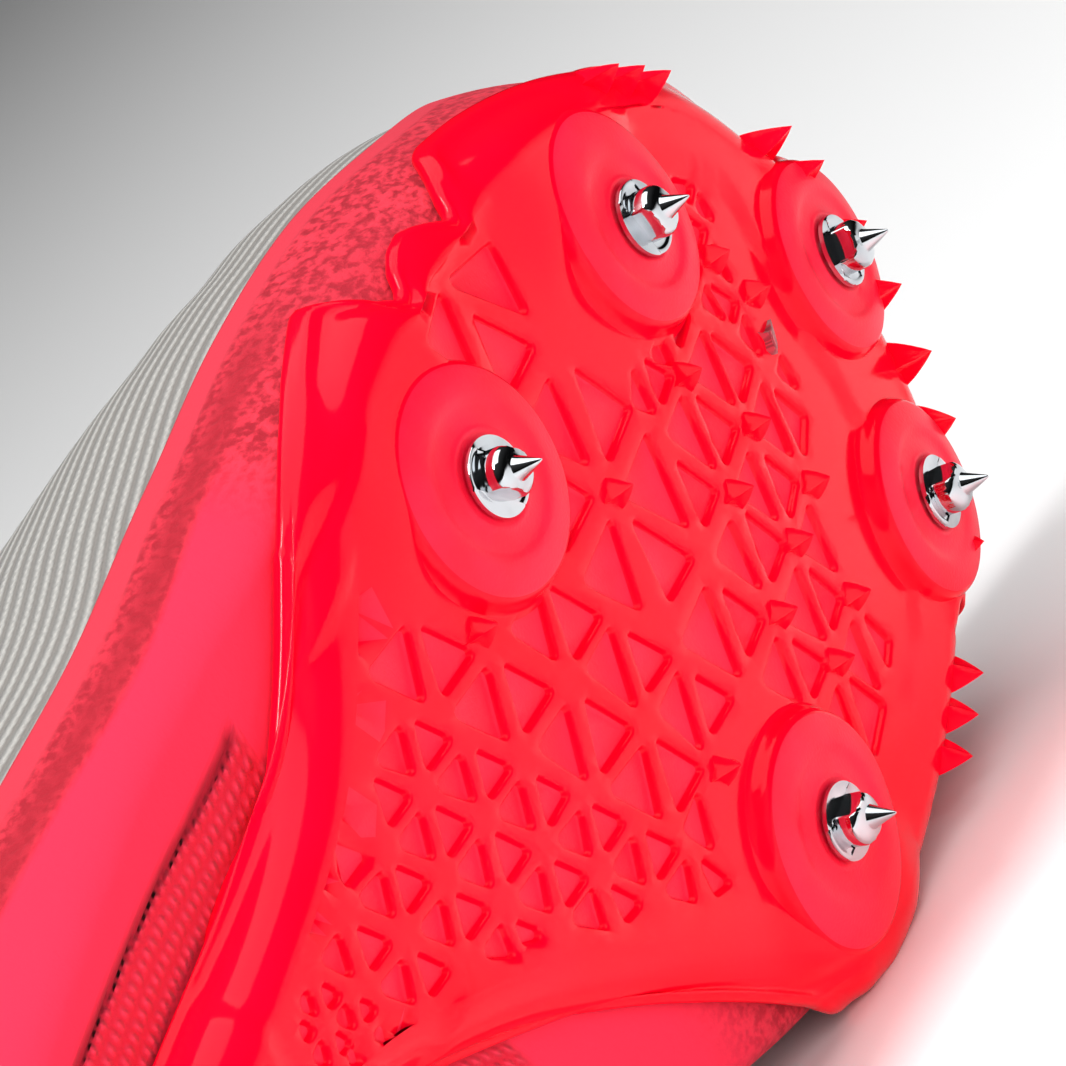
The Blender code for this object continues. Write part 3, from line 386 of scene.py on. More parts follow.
class Graph:
    """A short way to write the node tree of one material."""

    def __init__(self, name: str) -> None:
        """Start a material with its Principled shader."""
        self.material = bpy.data.materials.new(name)
        self.material.use_nodes = True
        self.tree = self.material.node_tree
        self.shader = self.tree.nodes["Principled BSDF"]

    def set(self, **values: float | tuple) -> None:
        """Set the shader's own sockets, by their names with underscores."""
        for key, value in values.items():
            self.shader.inputs[key.replace("_", " ")].default_value = value

    def link(self, source: bpy.types.NodeSocket, target: str) -> None:
        """Join a socket to one of the shader's."""
        self.tree.links.new(source, self.shader.inputs[target])

    def node(self, kind: str, inputs: dict | None = None, **properties: object) -> bpy.types.Node:
        """Add a node; sockets given in inputs are linked and plain values are set."""
        made = self.tree.nodes.new(kind)
        for key, value in properties.items():
            setattr(made, key, value)
        for key, value in (inputs or {}).items():
            if isinstance(value, bpy.types.NodeSocket):
                self.tree.links.new(value, made.inputs[key])
            else:
                made.inputs[key].default_value = value
        return made

    def math(self, operation: str, *values: object) -> bpy.types.NodeSocket:
        """The result of a Math node."""
        return self.node("ShaderNodeMath", dict(enumerate(values)), operation=operation).outputs[0]

    def noise(self, scale: float, detail: float = 2.0, vector: object = None) -> bpy.types.NodeSocket:
        """The value of a noise on the object's own coordinates, or on a vector."""
        where = vector or self.node("ShaderNodeTexCoord").outputs["Object"]
        return self.node("ShaderNodeTexNoise", {"Vector": where, "Scale": scale, "Detail": detail}).outputs[0]

    def mask(self, name: str) -> bpy.types.NodeSocket:
        """A mask that the mesh carries."""
        return self.node("ShaderNodeAttribute", attribute_name=name).outputs["Fac"]

    def uv(self) -> tuple[bpy.types.NodeSocket, bpy.types.NodeSocket]:
        """The piece's UV in millimetres, along and across."""
        parts = self.node("ShaderNodeSeparateXYZ", {0: self.node("ShaderNodeUVMap").outputs[0]})
        return parts.outputs[0], parts.outputs[1]

    def mix(self, share: object, first: object, second: object) -> bpy.types.NodeSocket:
        """A blend of two colours."""
        pick = {0: share, 6: opaque(first), 7: opaque(second)}
        return self.node("ShaderNodeMix", pick, data_type="RGBA").outputs[2]

    def ramp(self, value: bpy.types.NodeSocket, low: float, high: float) -> bpy.types.NodeSocket:
        """A value spread from low..high to 0..1, eased."""
        spread = {"Value": value, "From Min": low, "From Max": high}
        return self.node("ShaderNodeMapRange", spread, interpolation_type="SMOOTHSTEP").outputs[0]

    def wave(self, value: bpy.types.NodeSocket, pitch: float) -> bpy.types.NodeSocket:
        """A wave of 0..1 over a value, of the given pitch, as 0.5 + 0.5 sin."""
        turn = self.math("MULTIPLY", value, 2 * math.pi / pitch)
        return self.math("MULTIPLY_ADD", self.math("SINE", turn), 0.5, 0.5)

    def bump(self, height: bpy.types.NodeSocket, distance: float, strength: float = 1.0) -> None:
        """Give the shader a bump from a height, chained on the last one made."""
        chain = {"Height": height, "Distance": distance, "Strength": strength}
        if self.shader.inputs["Normal"].is_linked:
            chain["Normal"] = self.shader.inputs["Normal"].links[0].from_socket
        self.link(self.node("ShaderNodeBump", chain).outputs[0], "Normal")


def opaque(value: object) -> object:
    """A colour of three numbers with its alpha, or the value as it is."""
    return (*value, 1.0) if isinstance(value, tuple) and len(value) == 3 else value


class Finishes:
    """The shoe's finishes, each made once."""

    def __init__(self) -> None:
        """Make them all."""
        self.gloss = self.gloss_moulding()
        self.matte = self.matte_moulding()
        self.suede = self.guard_cloth()
        # Each knit gets a colour for its ridges and a darker copy of it as painted shade in its grooves
        self.knit = self.rib_knit("grey_rib_knit", (0.42, 0.41, 0.385), (0.20, 0.185, 0.170))
        self.cuff = self.rib_knit("red_rib_knit", (0.80, 0.050, 0.075), (0.42, 0.02, 0.035))
        # The last number of each weave sets how far painted shade darkens it between the threads
        self.lining = self.woven("red_lining", (0.62, 0.035, 0.06), 0.9)
        self.lace = self.woven("lace_weave", (1.0, 0.135, 0.055), 0.7)
        self.foam = self.grey_foam()
        self.steel = self.plated_steel()

    def gloss_moulding(self) -> bpy.types.Material:
        """Gloss red moulding with faint flow waviness and a few scuffs."""
        g = Graph("gloss_red_moulding")
        g.set(Roughness=0.12, Specular_IOR_Level=0.15, Subsurface_Weight=0.08,
              Subsurface_Radius=(0.9, 0.12, 0.12), Subsurface_Scale=0.0015)
        tone = g.ramp(g.noise(35.0), 0.35, 0.7)
        g.link(g.mix(tone, (1.0, 0.0008, 0.020), (0.94, 0.0005, 0.015)), "Base Color")
        g.bump(g.noise(90.0, 1.0), 0.0004, 0.12)
        return g.material

    def matte_moulding(self) -> bpy.types.Material:
        """Matte red of the pads and of the pockets' floors, with a spark-eroded grain."""
        g = Graph("matte_red_moulding")
        g.set(Roughness=0.42, Specular_IOR_Level=0.22, Subsurface_Weight=0.08,
              Subsurface_Radius=(0.9, 0.15, 0.15), Subsurface_Scale=0.0015)
        tone = g.ramp(g.noise(120.0, 3.0), 0.35, 0.68)
        g.link(g.mix(tone, (1.0, 0.011, 0.048), (0.97, 0.006, 0.034)), "Base Color")
        g.bump(g.noise(2600.0, 1.0), 0.00012, 0.35)
        return g.material

    def guard_cloth(self) -> bpy.types.Material:
        """The guard: suede nap, a smooth border, and at the waist a fused panel and a ribbed mesh."""
        g = Graph("guard_suede")
        g.set(Roughness=0.9, Specular_IOR_Level=0.2, Sheen_Weight=0.08, Sheen_Roughness=0.5,
              Sheen_Tint=(1.0, 0.4, 0.45, 1.0))
        along, across = g.uv()
        nap = g.noise(900.0, 4.0)
        cloud = g.ramp(g.noise(60.0, 3.0), 0.35, 0.65)
        suede = g.mix(g.ramp(nap, 0.36, 0.62), (0.34, 0.014, 0.026), (0.72, 0.036, 0.064))
        suede = g.mix(g.math("MULTIPLY", cloud, 0.35), suede, (0.44, 0.018, 0.036))
        rib = g.math("MULTIPLY", g.wave(along, 1.5), g.wave(across, 2.1))
        # Painted shade: the net's colour darkens between its ribs, by the rib height that its bump also uses
        mesh = g.mix(rib, (0.66, 0.014, 0.036), (0.92, 0.040, 0.085))
        colour = g.mix(g.mask("band"), suede, (0.36, 0.014, 0.026))
        colour = g.mix(g.mask("panel"), colour, (0.86, 0.026, 0.068))
        colour = g.mix(g.mask("net"), colour, mesh)
        colour = g.mix(g.mask("border"), colour, (0.62, 0.036, 0.062))
        colour = g.mix(g.mask("seam"), colour, (0.30, 0.006, 0.016))
        g.link(colour, "Base Color")
        smooth = g.math("MAXIMUM", g.mask("panel"), g.mask("border"))
        rough = g.math("SUBTRACT", 1.0, g.math("MULTIPLY", smooth, 0.75))
        g.bump(g.math("MULTIPLY", nap, rough), 0.00055, 0.75)
        g.bump(g.math("MULTIPLY", rib, g.mask("net")), 0.00045, 0.9)
        g.bump(g.mask("seam"), -0.0006, 1.0)
        return g.material

    def rib_knit(self, name: str, ridge: tuple, groove_shade: tuple) -> bpy.types.Material:
        """Knit with lengthwise ribs, each a row of small slanted loops, with painted shade that darkens the
        grooves between the ribs.
        """
        g = Graph(name)
        g.set(Roughness=0.85, Sheen_Weight=0.25, Sheen_Roughness=0.5)
        along, across = g.uv()
        drift = g.math("MULTIPLY", g.noise(25.0), 0.5)
        rib = g.wave(g.math("ADD", across, drift), 1.9)
        slant = g.math("ADD", along, g.math("MULTIPLY", g.wave(across, 1.9), 0.5))
        loops = g.wave(slant, 1.25)
        height = g.math("MULTIPLY", rib, g.math("MULTIPLY_ADD", loops, 0.3, 0.7))
        fuzz = g.noise(1800.0, 2.0)
        # Painted shade: the colour goes from the ridge colour to the darker groove colour as the ribs' height
        # falls, varied by the fuzz
        tone = g.math("MULTIPLY", height, g.math("MULTIPLY_ADD", fuzz, 0.5, 0.75))
        g.link(g.mix(g.ramp(tone, 0.05, 0.8), groove_shade, ridge), "Base Color")
        g.bump(height, 0.0007, 0.9)
        g.bump(fuzz, 0.0002, 0.5)
        return g.material

    def woven(self, name: str, colour: tuple, dark: float) -> bpy.types.Material:
        """A plain weave of fine threads, with painted shade that darkens it between them."""
        g = Graph(name)
        g.set(Roughness=0.8, Sheen_Weight=0.3, Sheen_Roughness=0.4)
        along, across = g.uv()
        threads = g.math("MULTIPLY", g.wave(along, 0.8), g.wave(across, 0.7))
        # Painted shade: a darker copy of the colour, used between the threads by the weave's height
        low = tuple(c * (1 - 0.5 * dark) for c in colour)
        g.link(g.mix(g.ramp(threads, 0.02, 0.5), low, colour), "Base Color")
        g.bump(threads, 0.0002, 0.8)
        return g.material

    def grey_foam(self) -> bpy.types.Material:
        """Moulded grey foam with a pebbled skin and a few darker scuffs."""
        g = Graph("grey_foam")
        g.set(Roughness=0.62)
        tone = g.ramp(g.noise(70.0, 4.0), 0.4, 0.7)
        g.link(g.mix(tone, (0.62, 0.61, 0.59), (0.48, 0.47, 0.455)), "Base Color")
        g.bump(g.noise(700.0, 2.0), 0.0004, 0.4)
        return g.material

    def plated_steel(self) -> bpy.types.Material:
        """Bright plated steel with hairline turning marks."""
        g = Graph("plated_steel")
        g.set(Metallic=1.0, IOR=2.5)
        tone = g.ramp(g.noise(240.0, 2.0), 0.4, 0.75)
        g.link(g.mix(tone, (0.62, 0.65, 0.68), (0.46, 0.49, 0.52)), "Base Color")
        g.link(g.math("MULTIPLY_ADD", tone, 0.10, 0.06), "Roughness")
        return g.material


def line_uv(grid: np.ndarray, start: float = 0.0) -> np.ndarray:
    """UVs in millimetres of a grid: the run of its middle line along rows, and across columns the
    length of each row's own line from its first point."""
    middle = grid[:, grid.shape[1] // 2]
    run = np.concatenate([[0.0], np.cumsum(np.linalg.norm(np.diff(middle, axis=0), axis=1))])
    steps = np.linalg.norm(np.diff(grid, axis=1), axis=2)
    climb = np.concatenate([np.zeros((len(grid), 1)), np.cumsum(steps, axis=1)], 1)
    return np.stack([np.broadcast_to(run[:, None], climb.shape) / MM + start, climb / MM], -1)


# Pockets of the tread, measured as the corners of their floors in the sole's own plan: forward of
# the line through the two rear spikes, and across to the medial side, in millimetres
POCKETS = (
    (24.1, -40.4, 20.5, -33.2, 14.8, -43.4), (13.8, -39.2, 17.6, -30.9, 9.1, -31.4),
    (12.4, -43.9, 7.1, -36.2, 4.1, -43.7), (16.0, -27.1, 11.3, -18.6, 7.1, -27.4),
    (20.1, -24.7, 22.6, -16.1, 14.0, -16.2), (5.4, -24.7, 8.3, -16.5, -0.6, -17.1),
    (21.8, -12.4, 16.9, -2.8, 12.4, -12.5), (10.6, -10.3, 14.1, -0.6, 6.8, -1.6),
    (8.1, -12.8, 2.4, -4.9, -1.2, -12.9), (22.6, -7.4, 24.8, -0.5, 19.1, -0.6),
    (23.2, 3.1, 19.9, 10.6, 17.5, 2.8), (14.6, 5.0, 16.9, 12.2, 10.9, 11.9),
    (12.6, 2.8, 7.8, 11.9, 4.1, 2.5), (2.1, 5.9, 4.5, 11.9, -1.6, 10.9),
    (30.9, -9.4, 27.1, -1.6, 24.7, -9.7), (32.8, -7.8, 35.0, -0.5, 28.9, -0.6),
    (33.8, 2.5, 30.1, 9.7, 27.4, 2.6), (26.2, 4.5, 28.4, 11.9, 22.1, 11.6),
    (35.6, 4.7, 37.5, 10.8, 32.1, 11.4), (36.5, 13.8, 33.1, 21.2, 30.3, 14.5),
    (28.9, 16.5, 30.7, 23.2, 25.6, 23.2), (27.4, 14.9, 23.5, 22.6, 19.7, 15.0),
    (18.5, 17.5, 20.9, 23.9, 15.3, 23.5), (16.8, 15.3, 13.2, 22.1, 10.3, 15.6),
    (29.7, 26.2, 26.2, 33.8, 23.5, 26.5), (22.6, 28.2, 25.0, 35.3, 17.9, 36.2),
    (20.1, 26.9, 16.2, 34.4, 14.1, 27.2), (12.9, 30.9, 15.0, 36.9, 10.6, 36.9),
    (32.1, 27.1, 33.5, 33.2, 30.0, 34.1), (42.6, -8.5, 44.7, -1.2, 38.8, -0.9),
    (41.8, -9.5, 37.4, -1.9, 34.7, -9.7), (44.4, 1.5, 40.0, 9.1, 37.4, 1.8),
    (45.3, 3.2, 47.1, 9.4, 41.8, 10.9), (41.5, -15.7, 41.6, -12.5, 35.5, -12.2),
    (35.0, -15.3, 33.5, -12.5, 31.2, -15.3), (30.0, -16.2, 31.9, -12.1, 27.1, -12.1),
    (27.6, -17.4, 25.3, -12.6, 23.5, -15.6), (53.4, -18.5, 55.6, -13.5, 52.1, -13.2),
    (53.0, -19.0, 51.0, -15.0, 50.6, -18.8), (54.7, -11.5, 52.6, -7.1, 51.8, -11.5),
    (47.8, -18.1, 49.7, -12.8, 45.9, -12.8), (46.9, -18.2, 44.7, -14.3, 43.8, -17.9),
    (48.8, -10.6, 50.9, -5.9, 47.5, -5.7), (48.2, -10.9, 46.5, -6.8, 45.3, -10.6),
    (50.3, -4.1, 47.9, 0.2, 47.1, -3.8), (50.9, 3.2, 49.4, 7.4, 48.2, 3.5),
    (52.1, -25.0, 54.1, -21.0, 52.1, -20.8), (56.5, -20.4, 59.7, -17.1, 56.5, -16.9),
    (59.7, -15.6, 57.9, -12.6, 56.8, -15.3), (51.2, -25.3, 49.7, -21.5, 50.0, -24.7),
    (-5.6, -16.8, -2.9, -9.4, -10.0, -10.3), (-2.9, -7.4, -7.9, -0.3, -9.7, -8.1),
    (-1.5, -5.0, 1.2, 1.5, -5.0, 0.3), (0.6, 3.5, -4.4, 10.6, -5.6, 3.2),
    (-8.8, 4.1, -6.2, 11.5, -13.2, 10.6), (-7.4, -17.9, -12.1, -12.6, -14.1, -19.1),
    (-12.9, -6.8, -10.4, 0.3, -18.2, -1.2), (-10.9, 2.9, -15.9, 8.5, -19.0, 0.9),
    (-18.2, -18.2, -15.6, -11.5, -22.6, -12.6), (-15.6, -8.8, -20.6, -2.9, -22.6, -10.0),
    (-9.1, 12.4, -12.9, 17.1, -14.4, 12.6), (-15.3, 15.9, -13.8, 21.5, -16.8, 20.0),
    (-19.0, 7.6, -16.8, 12.4, -22.1, 11.5), (-17.1, 14.4, -20.0, 17.4, -22.6, 13.2),
    (-23.2, -29.4, -20.3, -22.6, -27.4, -23.8), (-20.3, -20.0, -25.1, -14.4, -28.2, -21.5),
    (-22.4, -0.6, -20.4, 4.1, -25.3, 3.2), (-20.9, 6.2, -24.1, 9.7, -26.2, 5.3),
    (-25.7, -8.8, -23.9, -4.4, -29.0, -5.0), (-24.2, -1.7, -27.4, 1.4, -29.6, -3.1),
    (-28.2, 5.6, -26.2, 10.5, -29.7, 9.4), (-27.1, -38.8, -24.7, -34.2, -32.1, -35.3),
    (-24.7, -31.2, -30.0, -25.9, -32.9, -32.9), (-29.4, -17.1, -27.4, -12.5, -32.6, -13.5),
    (-27.8, -10.5, -30.9, -6.9, -33.2, -11.5), (-31.9, -2.4, -29.8, 2.2, -34.7, 1.2),
    (-30.3, 3.8, -32.6, 7.1, -35.6, 2.6), (-32.8, -25.5, -30.9, -20.9, -36.1, -21.9),
    (-31.4, -18.7, -34.3, -15.2, -36.8, -19.9), (-35.3, -10.9, -33.4, -6.2, -38.5, -7.1),
    (-33.8, -3.8, -36.9, -0.7, -39.1, -5.0), (-36.4, -33.7, -34.4, -29.2, -39.6, -30.0),
    (-34.7, -26.9, -37.9, -23.5, -40.3, -27.9), (-38.8, -19.0, -36.9, -14.4, -42.1, -15.3),
    (-37.4, -12.4, -40.6, -9.0, -42.8, -13.4), (-41.5, -4.1, -39.4, 0.2, -42.6, -2.4),
    (-38.2, -35.0, -41.5, -31.6, -42.5, -34.2), (-42.2, -27.3, -40.3, -22.6, -45.0, -23.5),
    (-40.8, -20.5, -43.8, -17.1, -45.9, -21.5), (-44.9, -12.4, -42.9, -8.1, -47.9, -9.1),
    (-43.2, -5.6, -44.7, -2.9, -47.9, -6.5), (-45.3, -33.4, -43.5, -30.7, -48.5, -31.6),
    (-44.1, -28.7, -47.1, -25.3, -48.8, -29.4), (-48.2, -20.6, -46.3, -16.3, -51.2, -17.2),
    (-46.8, -13.8, -49.8, -10.7, -51.6, -14.9), (-51.5, -28.5, -49.6, -24.3, -54.4, -25.3),
    (-50.0, -21.9, -52.9, -18.8, -54.7, -23.2), (-54.1, -14.1, -52.4, -9.8, -56.5, -10.7),
    (-53.2, -29.7, -56.2, -26.8, -56.8, -28.5), (-57.4, -22.1, -55.5, -17.8, -59.7, -18.6),
    (-55.9, -15.3, -58.8, -12.4, -60.7, -16.6), (-59.4, -28.1, -58.5, -25.9, -62.9, -26.8),
    (-59.7, -23.8, -62.1, -20.5, -63.5, -24.4), (-62.1, -13.8, -60.9, -11.2, -63.2, -11.8),
    (-63.5, -18.2, -62.6, -16.2, -65.0, -16.8), (-62.9, -14.4, -64.4, -12.9, -65.3, -14.7),
    (-65.6, -23.2, -64.7, -20.9, -67.1, -21.5), (-65.0, -19.5, -66.5, -17.8, -67.4, -20.0),
    (-67.4, -24.4, -68.8, -22.5, -69.4, -24.7), (-68.5, -19.4, -67.9, -17.3, -70.0, -17.9),
    (-67.9, -16.5, -68.8, -15.3, -69.7, -16.8), (-70.9, -23.8, -70.0, -22.1, -72.1, -22.4),
    (-70.3, -20.6, -71.8, -18.8, -72.9, -20.6),
)


# Border of the lattice field, in the same plan: lateral side, waist, medial side and toe
FIELD = (
    (25.0, -42.5), (13.0, -45.3), (3.0, -45.2), (-8.0, -43.0), (-22.0, -40.0), (-33.0, -37.0),
    (-45.0, -34.5), (-62.0, -29.5), (-76.0, -26.0), (-76.0, -17.5), (-66.0, -13.0), (-60.0, -10.0),
    (-50.0, -6.0), (-40.0, 0.2),
    (-35.0, 4.2), (-30.0, 10.4), (-20.0, 19.0), (-15.0, 24.0), (-6.0, 36.0), (12.0, 38.4), (26.0, 37.6),
    (38.0, 36.0), (48.0, 31.0), (54.5, 18.0), (57.0, 6.0), (61.0, -5.0), (63.5, -12.0), (60.0, -18.6),
    (54.0, -26.6), (50.0, -27.6), (38.0, -38.0),
)


@dataclass(frozen=True)
class Seat:
    """One spike's place on the tread and the shape of its pad: radius, how far it reaches out to
    one side as a share, and the direction of that reach in degrees from the toe to the medial side."""

    node: str
    share_x: float
    share_y: float
    radius: float
    reach: float
    bearing: float

    @property
    def spot(self) -> np.ndarray:
        """The seat's centre on the plan of the last."""
        return np.array([[self.share_x * LAST.length, self.share_y * LAST.half_ball]])


SEATS = (
    Seat("spike_lateral_rear", -0.0167, -0.558, 0.0132, 0.02, -100.0),
    Seat("spike_medial_rear", 0.0167, 0.725, 0.0130, 0.16, 110.0),
    Seat("spike_lateral_front", 0.1460, -0.490, 0.0122, 0.20, -85.0),
    Seat("spike_medial_front", 0.2010, 0.680, 0.0122, 0.08, 60.0),
    Seat("spike_toe", 0.2500, 0.125, 0.0122, 0.04, -10.0),
)


@dataclass(frozen=True)
class SolePlan:
    """How the plan that the tread was measured in lies on the last."""

    turn: float = -0.04534
    plan_centre: tuple = (34.40, 2.245)
    last_centre: tuple = (35.271, 4.646)

    def on_last(self, plan: np.ndarray) -> np.ndarray:
        """Plan points in millimetres as X and Y of the last in metres: turned about a centre."""
        c, s = math.cos(self.turn), math.sin(self.turn)
        off = np.asarray(plan, float) - np.array(self.plan_centre)
        turned = np.stack([off[..., 0] * c - off[..., 1] * s, off[..., 0] * s + off[..., 1] * c], -1)
        return (turned + np.array(self.last_centre)) * MM


@dataclass
class Tread:
    """The plate's level face as a height over the plan, with its pockets."""

    lift: float = PLATE_LIFT
    thickness: float = PLATE_WALL
    corner_radius: float = 0.00035
    depths: tuple = ((0.0, -1.0), (0.12, -0.93), (0.30, -0.5), (0.46, -0.12), (0.66, 0.0))
    floor_depth: float = 0.0010
    corner_steps: int = 4
    swell_rise: float = 0.0021
    border_rise: float = 0.0007
    border_slope: float = 0.0009

    def __post_init__(self) -> None:
        """Put the pockets on the last and draw their corners in by the corner radius."""
        plan = SolePlan()
        corners = plan.on_last(np.array(POCKETS).reshape(-1, 3, 2))
        area = np.cross(corners[:, 1] - corners[:, 0], corners[:, 2] - corners[:, 0])
        corners[area < 0] = corners[area < 0][:, ::-1]
        sides = np.linalg.norm(corners - np.roll(corners, -1, axis=1), axis=2)
        opposite = np.roll(sides, -1, axis=1)
        middle = (corners * opposite[..., None]).sum(1) / opposite.sum(1)[:, None]
        inner = np.abs(area) / sides.sum(1)
        share = 1 - self.corner_radius / np.maximum(inner, self.corner_radius * 1.6)
        self.cores = middle[:, None] + (corners - middle[:, None]) * share[:, None, None]
        self.field = plan.on_last(np.array(FIELD))

    def loops(self) -> list[np.ndarray]:
        """Rings round each pocket: its core pushed out by each distance, with round corners."""
        before = self.cores - np.roll(self.cores, 1, axis=1)
        normal = unit(np.stack([before[..., 1], -before[..., 0]], -1))
        start = np.arctan2(normal[..., 1], normal[..., 0])
        after = np.roll(start, -1, axis=1)
        sweep = (after - start) % (2 * math.pi)
        shares = np.linspace(0, 1, self.corner_steps)
        angle = start[..., None] + sweep[..., None] * shares
        ray = np.stack([np.cos(angle), np.sin(angle)], -1)
        made = []
        for distance, _ in self.depths:
            ring = self.cores[:, :, None] + ray * (self.corner_radius + distance * MM)
            made.append(ring.reshape(len(self.cores), -1, 2))
        return made

    def distance(self, spots: np.ndarray) -> np.ndarray:
        """How far spots lie from the nearest pocket's floor, in metres; 0 on a floor."""
        best = np.full(len(spots), 1.0)
        for core in self.cores:
            edge = np.roll(core, -1, axis=0) - core
            off = spots[:, None] - core
            along = np.clip((off * edge).sum(-1) / (edge**2).sum(-1), 0, 1)
            gap = np.linalg.norm(off - along[..., None] * edge, axis=-1).min(1)
            inside = (edge[:, 0] * off[..., 1] - edge[:, 1] * off[..., 0] > 0).all(1)
            best = np.minimum(best, np.where(inside, 0.0, gap))
        return np.maximum(best - self.corner_radius, 0.0)

    def place(self, spots: np.ndarray, rise: np.ndarray) -> np.ndarray:
        """Points of the tread over plan spots, moved out of the plate by a rise."""
        down = self.down(spots)
        x, y = spots[:, 0], spots[:, 1]
        base = np.stack([x, y, LAST.level(x, y)], -1)
        return base + down * (self.lift + self.thickness + rise)[:, None]

    def down(self, spots: np.ndarray) -> np.ndarray:
        """The direction out of the tread, from the slope of its carrier."""
        x, y, step = spots[:, 0], spots[:, 1], MM
        slope_x = (LAST.level(x + step, y) - LAST.level(x - step, y)) / (2 * step)
        slope_y = (LAST.level(x, y + step) - LAST.level(x, y - step)) / (2 * step)
        return unit(np.stack([slope_x, slope_y, -np.ones_like(x)], -1))

    def rise(self, spots: np.ndarray) -> np.ndarray:
        """Height over the ribs' tops, by the distance from the nearest floor: 0 on the ribs, then a
        rounded shoulder, a steep wall and the floor. The rim's swell is added."""
        gap, depth = (np.array(values) for values in zip(*self.depths))
        return np.interp(self.distance(spots) / MM, gap, depth) * self.floor_depth + self.swell(spots)

    def swell(self, spots: np.ndarray) -> np.ndarray:
        """How far the rim stands over the ribs: a low step all round the field, and beside each pad
        a swelling on its outer side that makes the rim flush with the pad."""
        edge = np.roll(self.field, -1, axis=0) - self.field
        off = spots[:, None] - self.field
        along = np.clip((off * edge).sum(-1) / (edge**2).sum(-1), 0, 1)
        gap = np.linalg.norm(off - along[..., None] * edge, axis=-1).min(1)
        outside = ~inside_outline(spots, self.field)
        step = self.border_rise * ease(gap / self.border_slope) * outside
        best = np.zeros(len(spots))
        for seat in SEATS:
            turn = math.radians(seat.bearing)
            toward = np.array([math.cos(turn), math.sin(turn)])
            away = (spots - seat.spot) / seat.radius
            ahead, beside = away @ toward, np.abs(away @ np.array([-toward[1], toward[0]]))
            best = np.maximum(best, ease((ahead + 0.1) / 0.85) * (1 - ease((beside - 0.7) / 0.95)))
        return np.maximum(step, self.swell_rise * best)


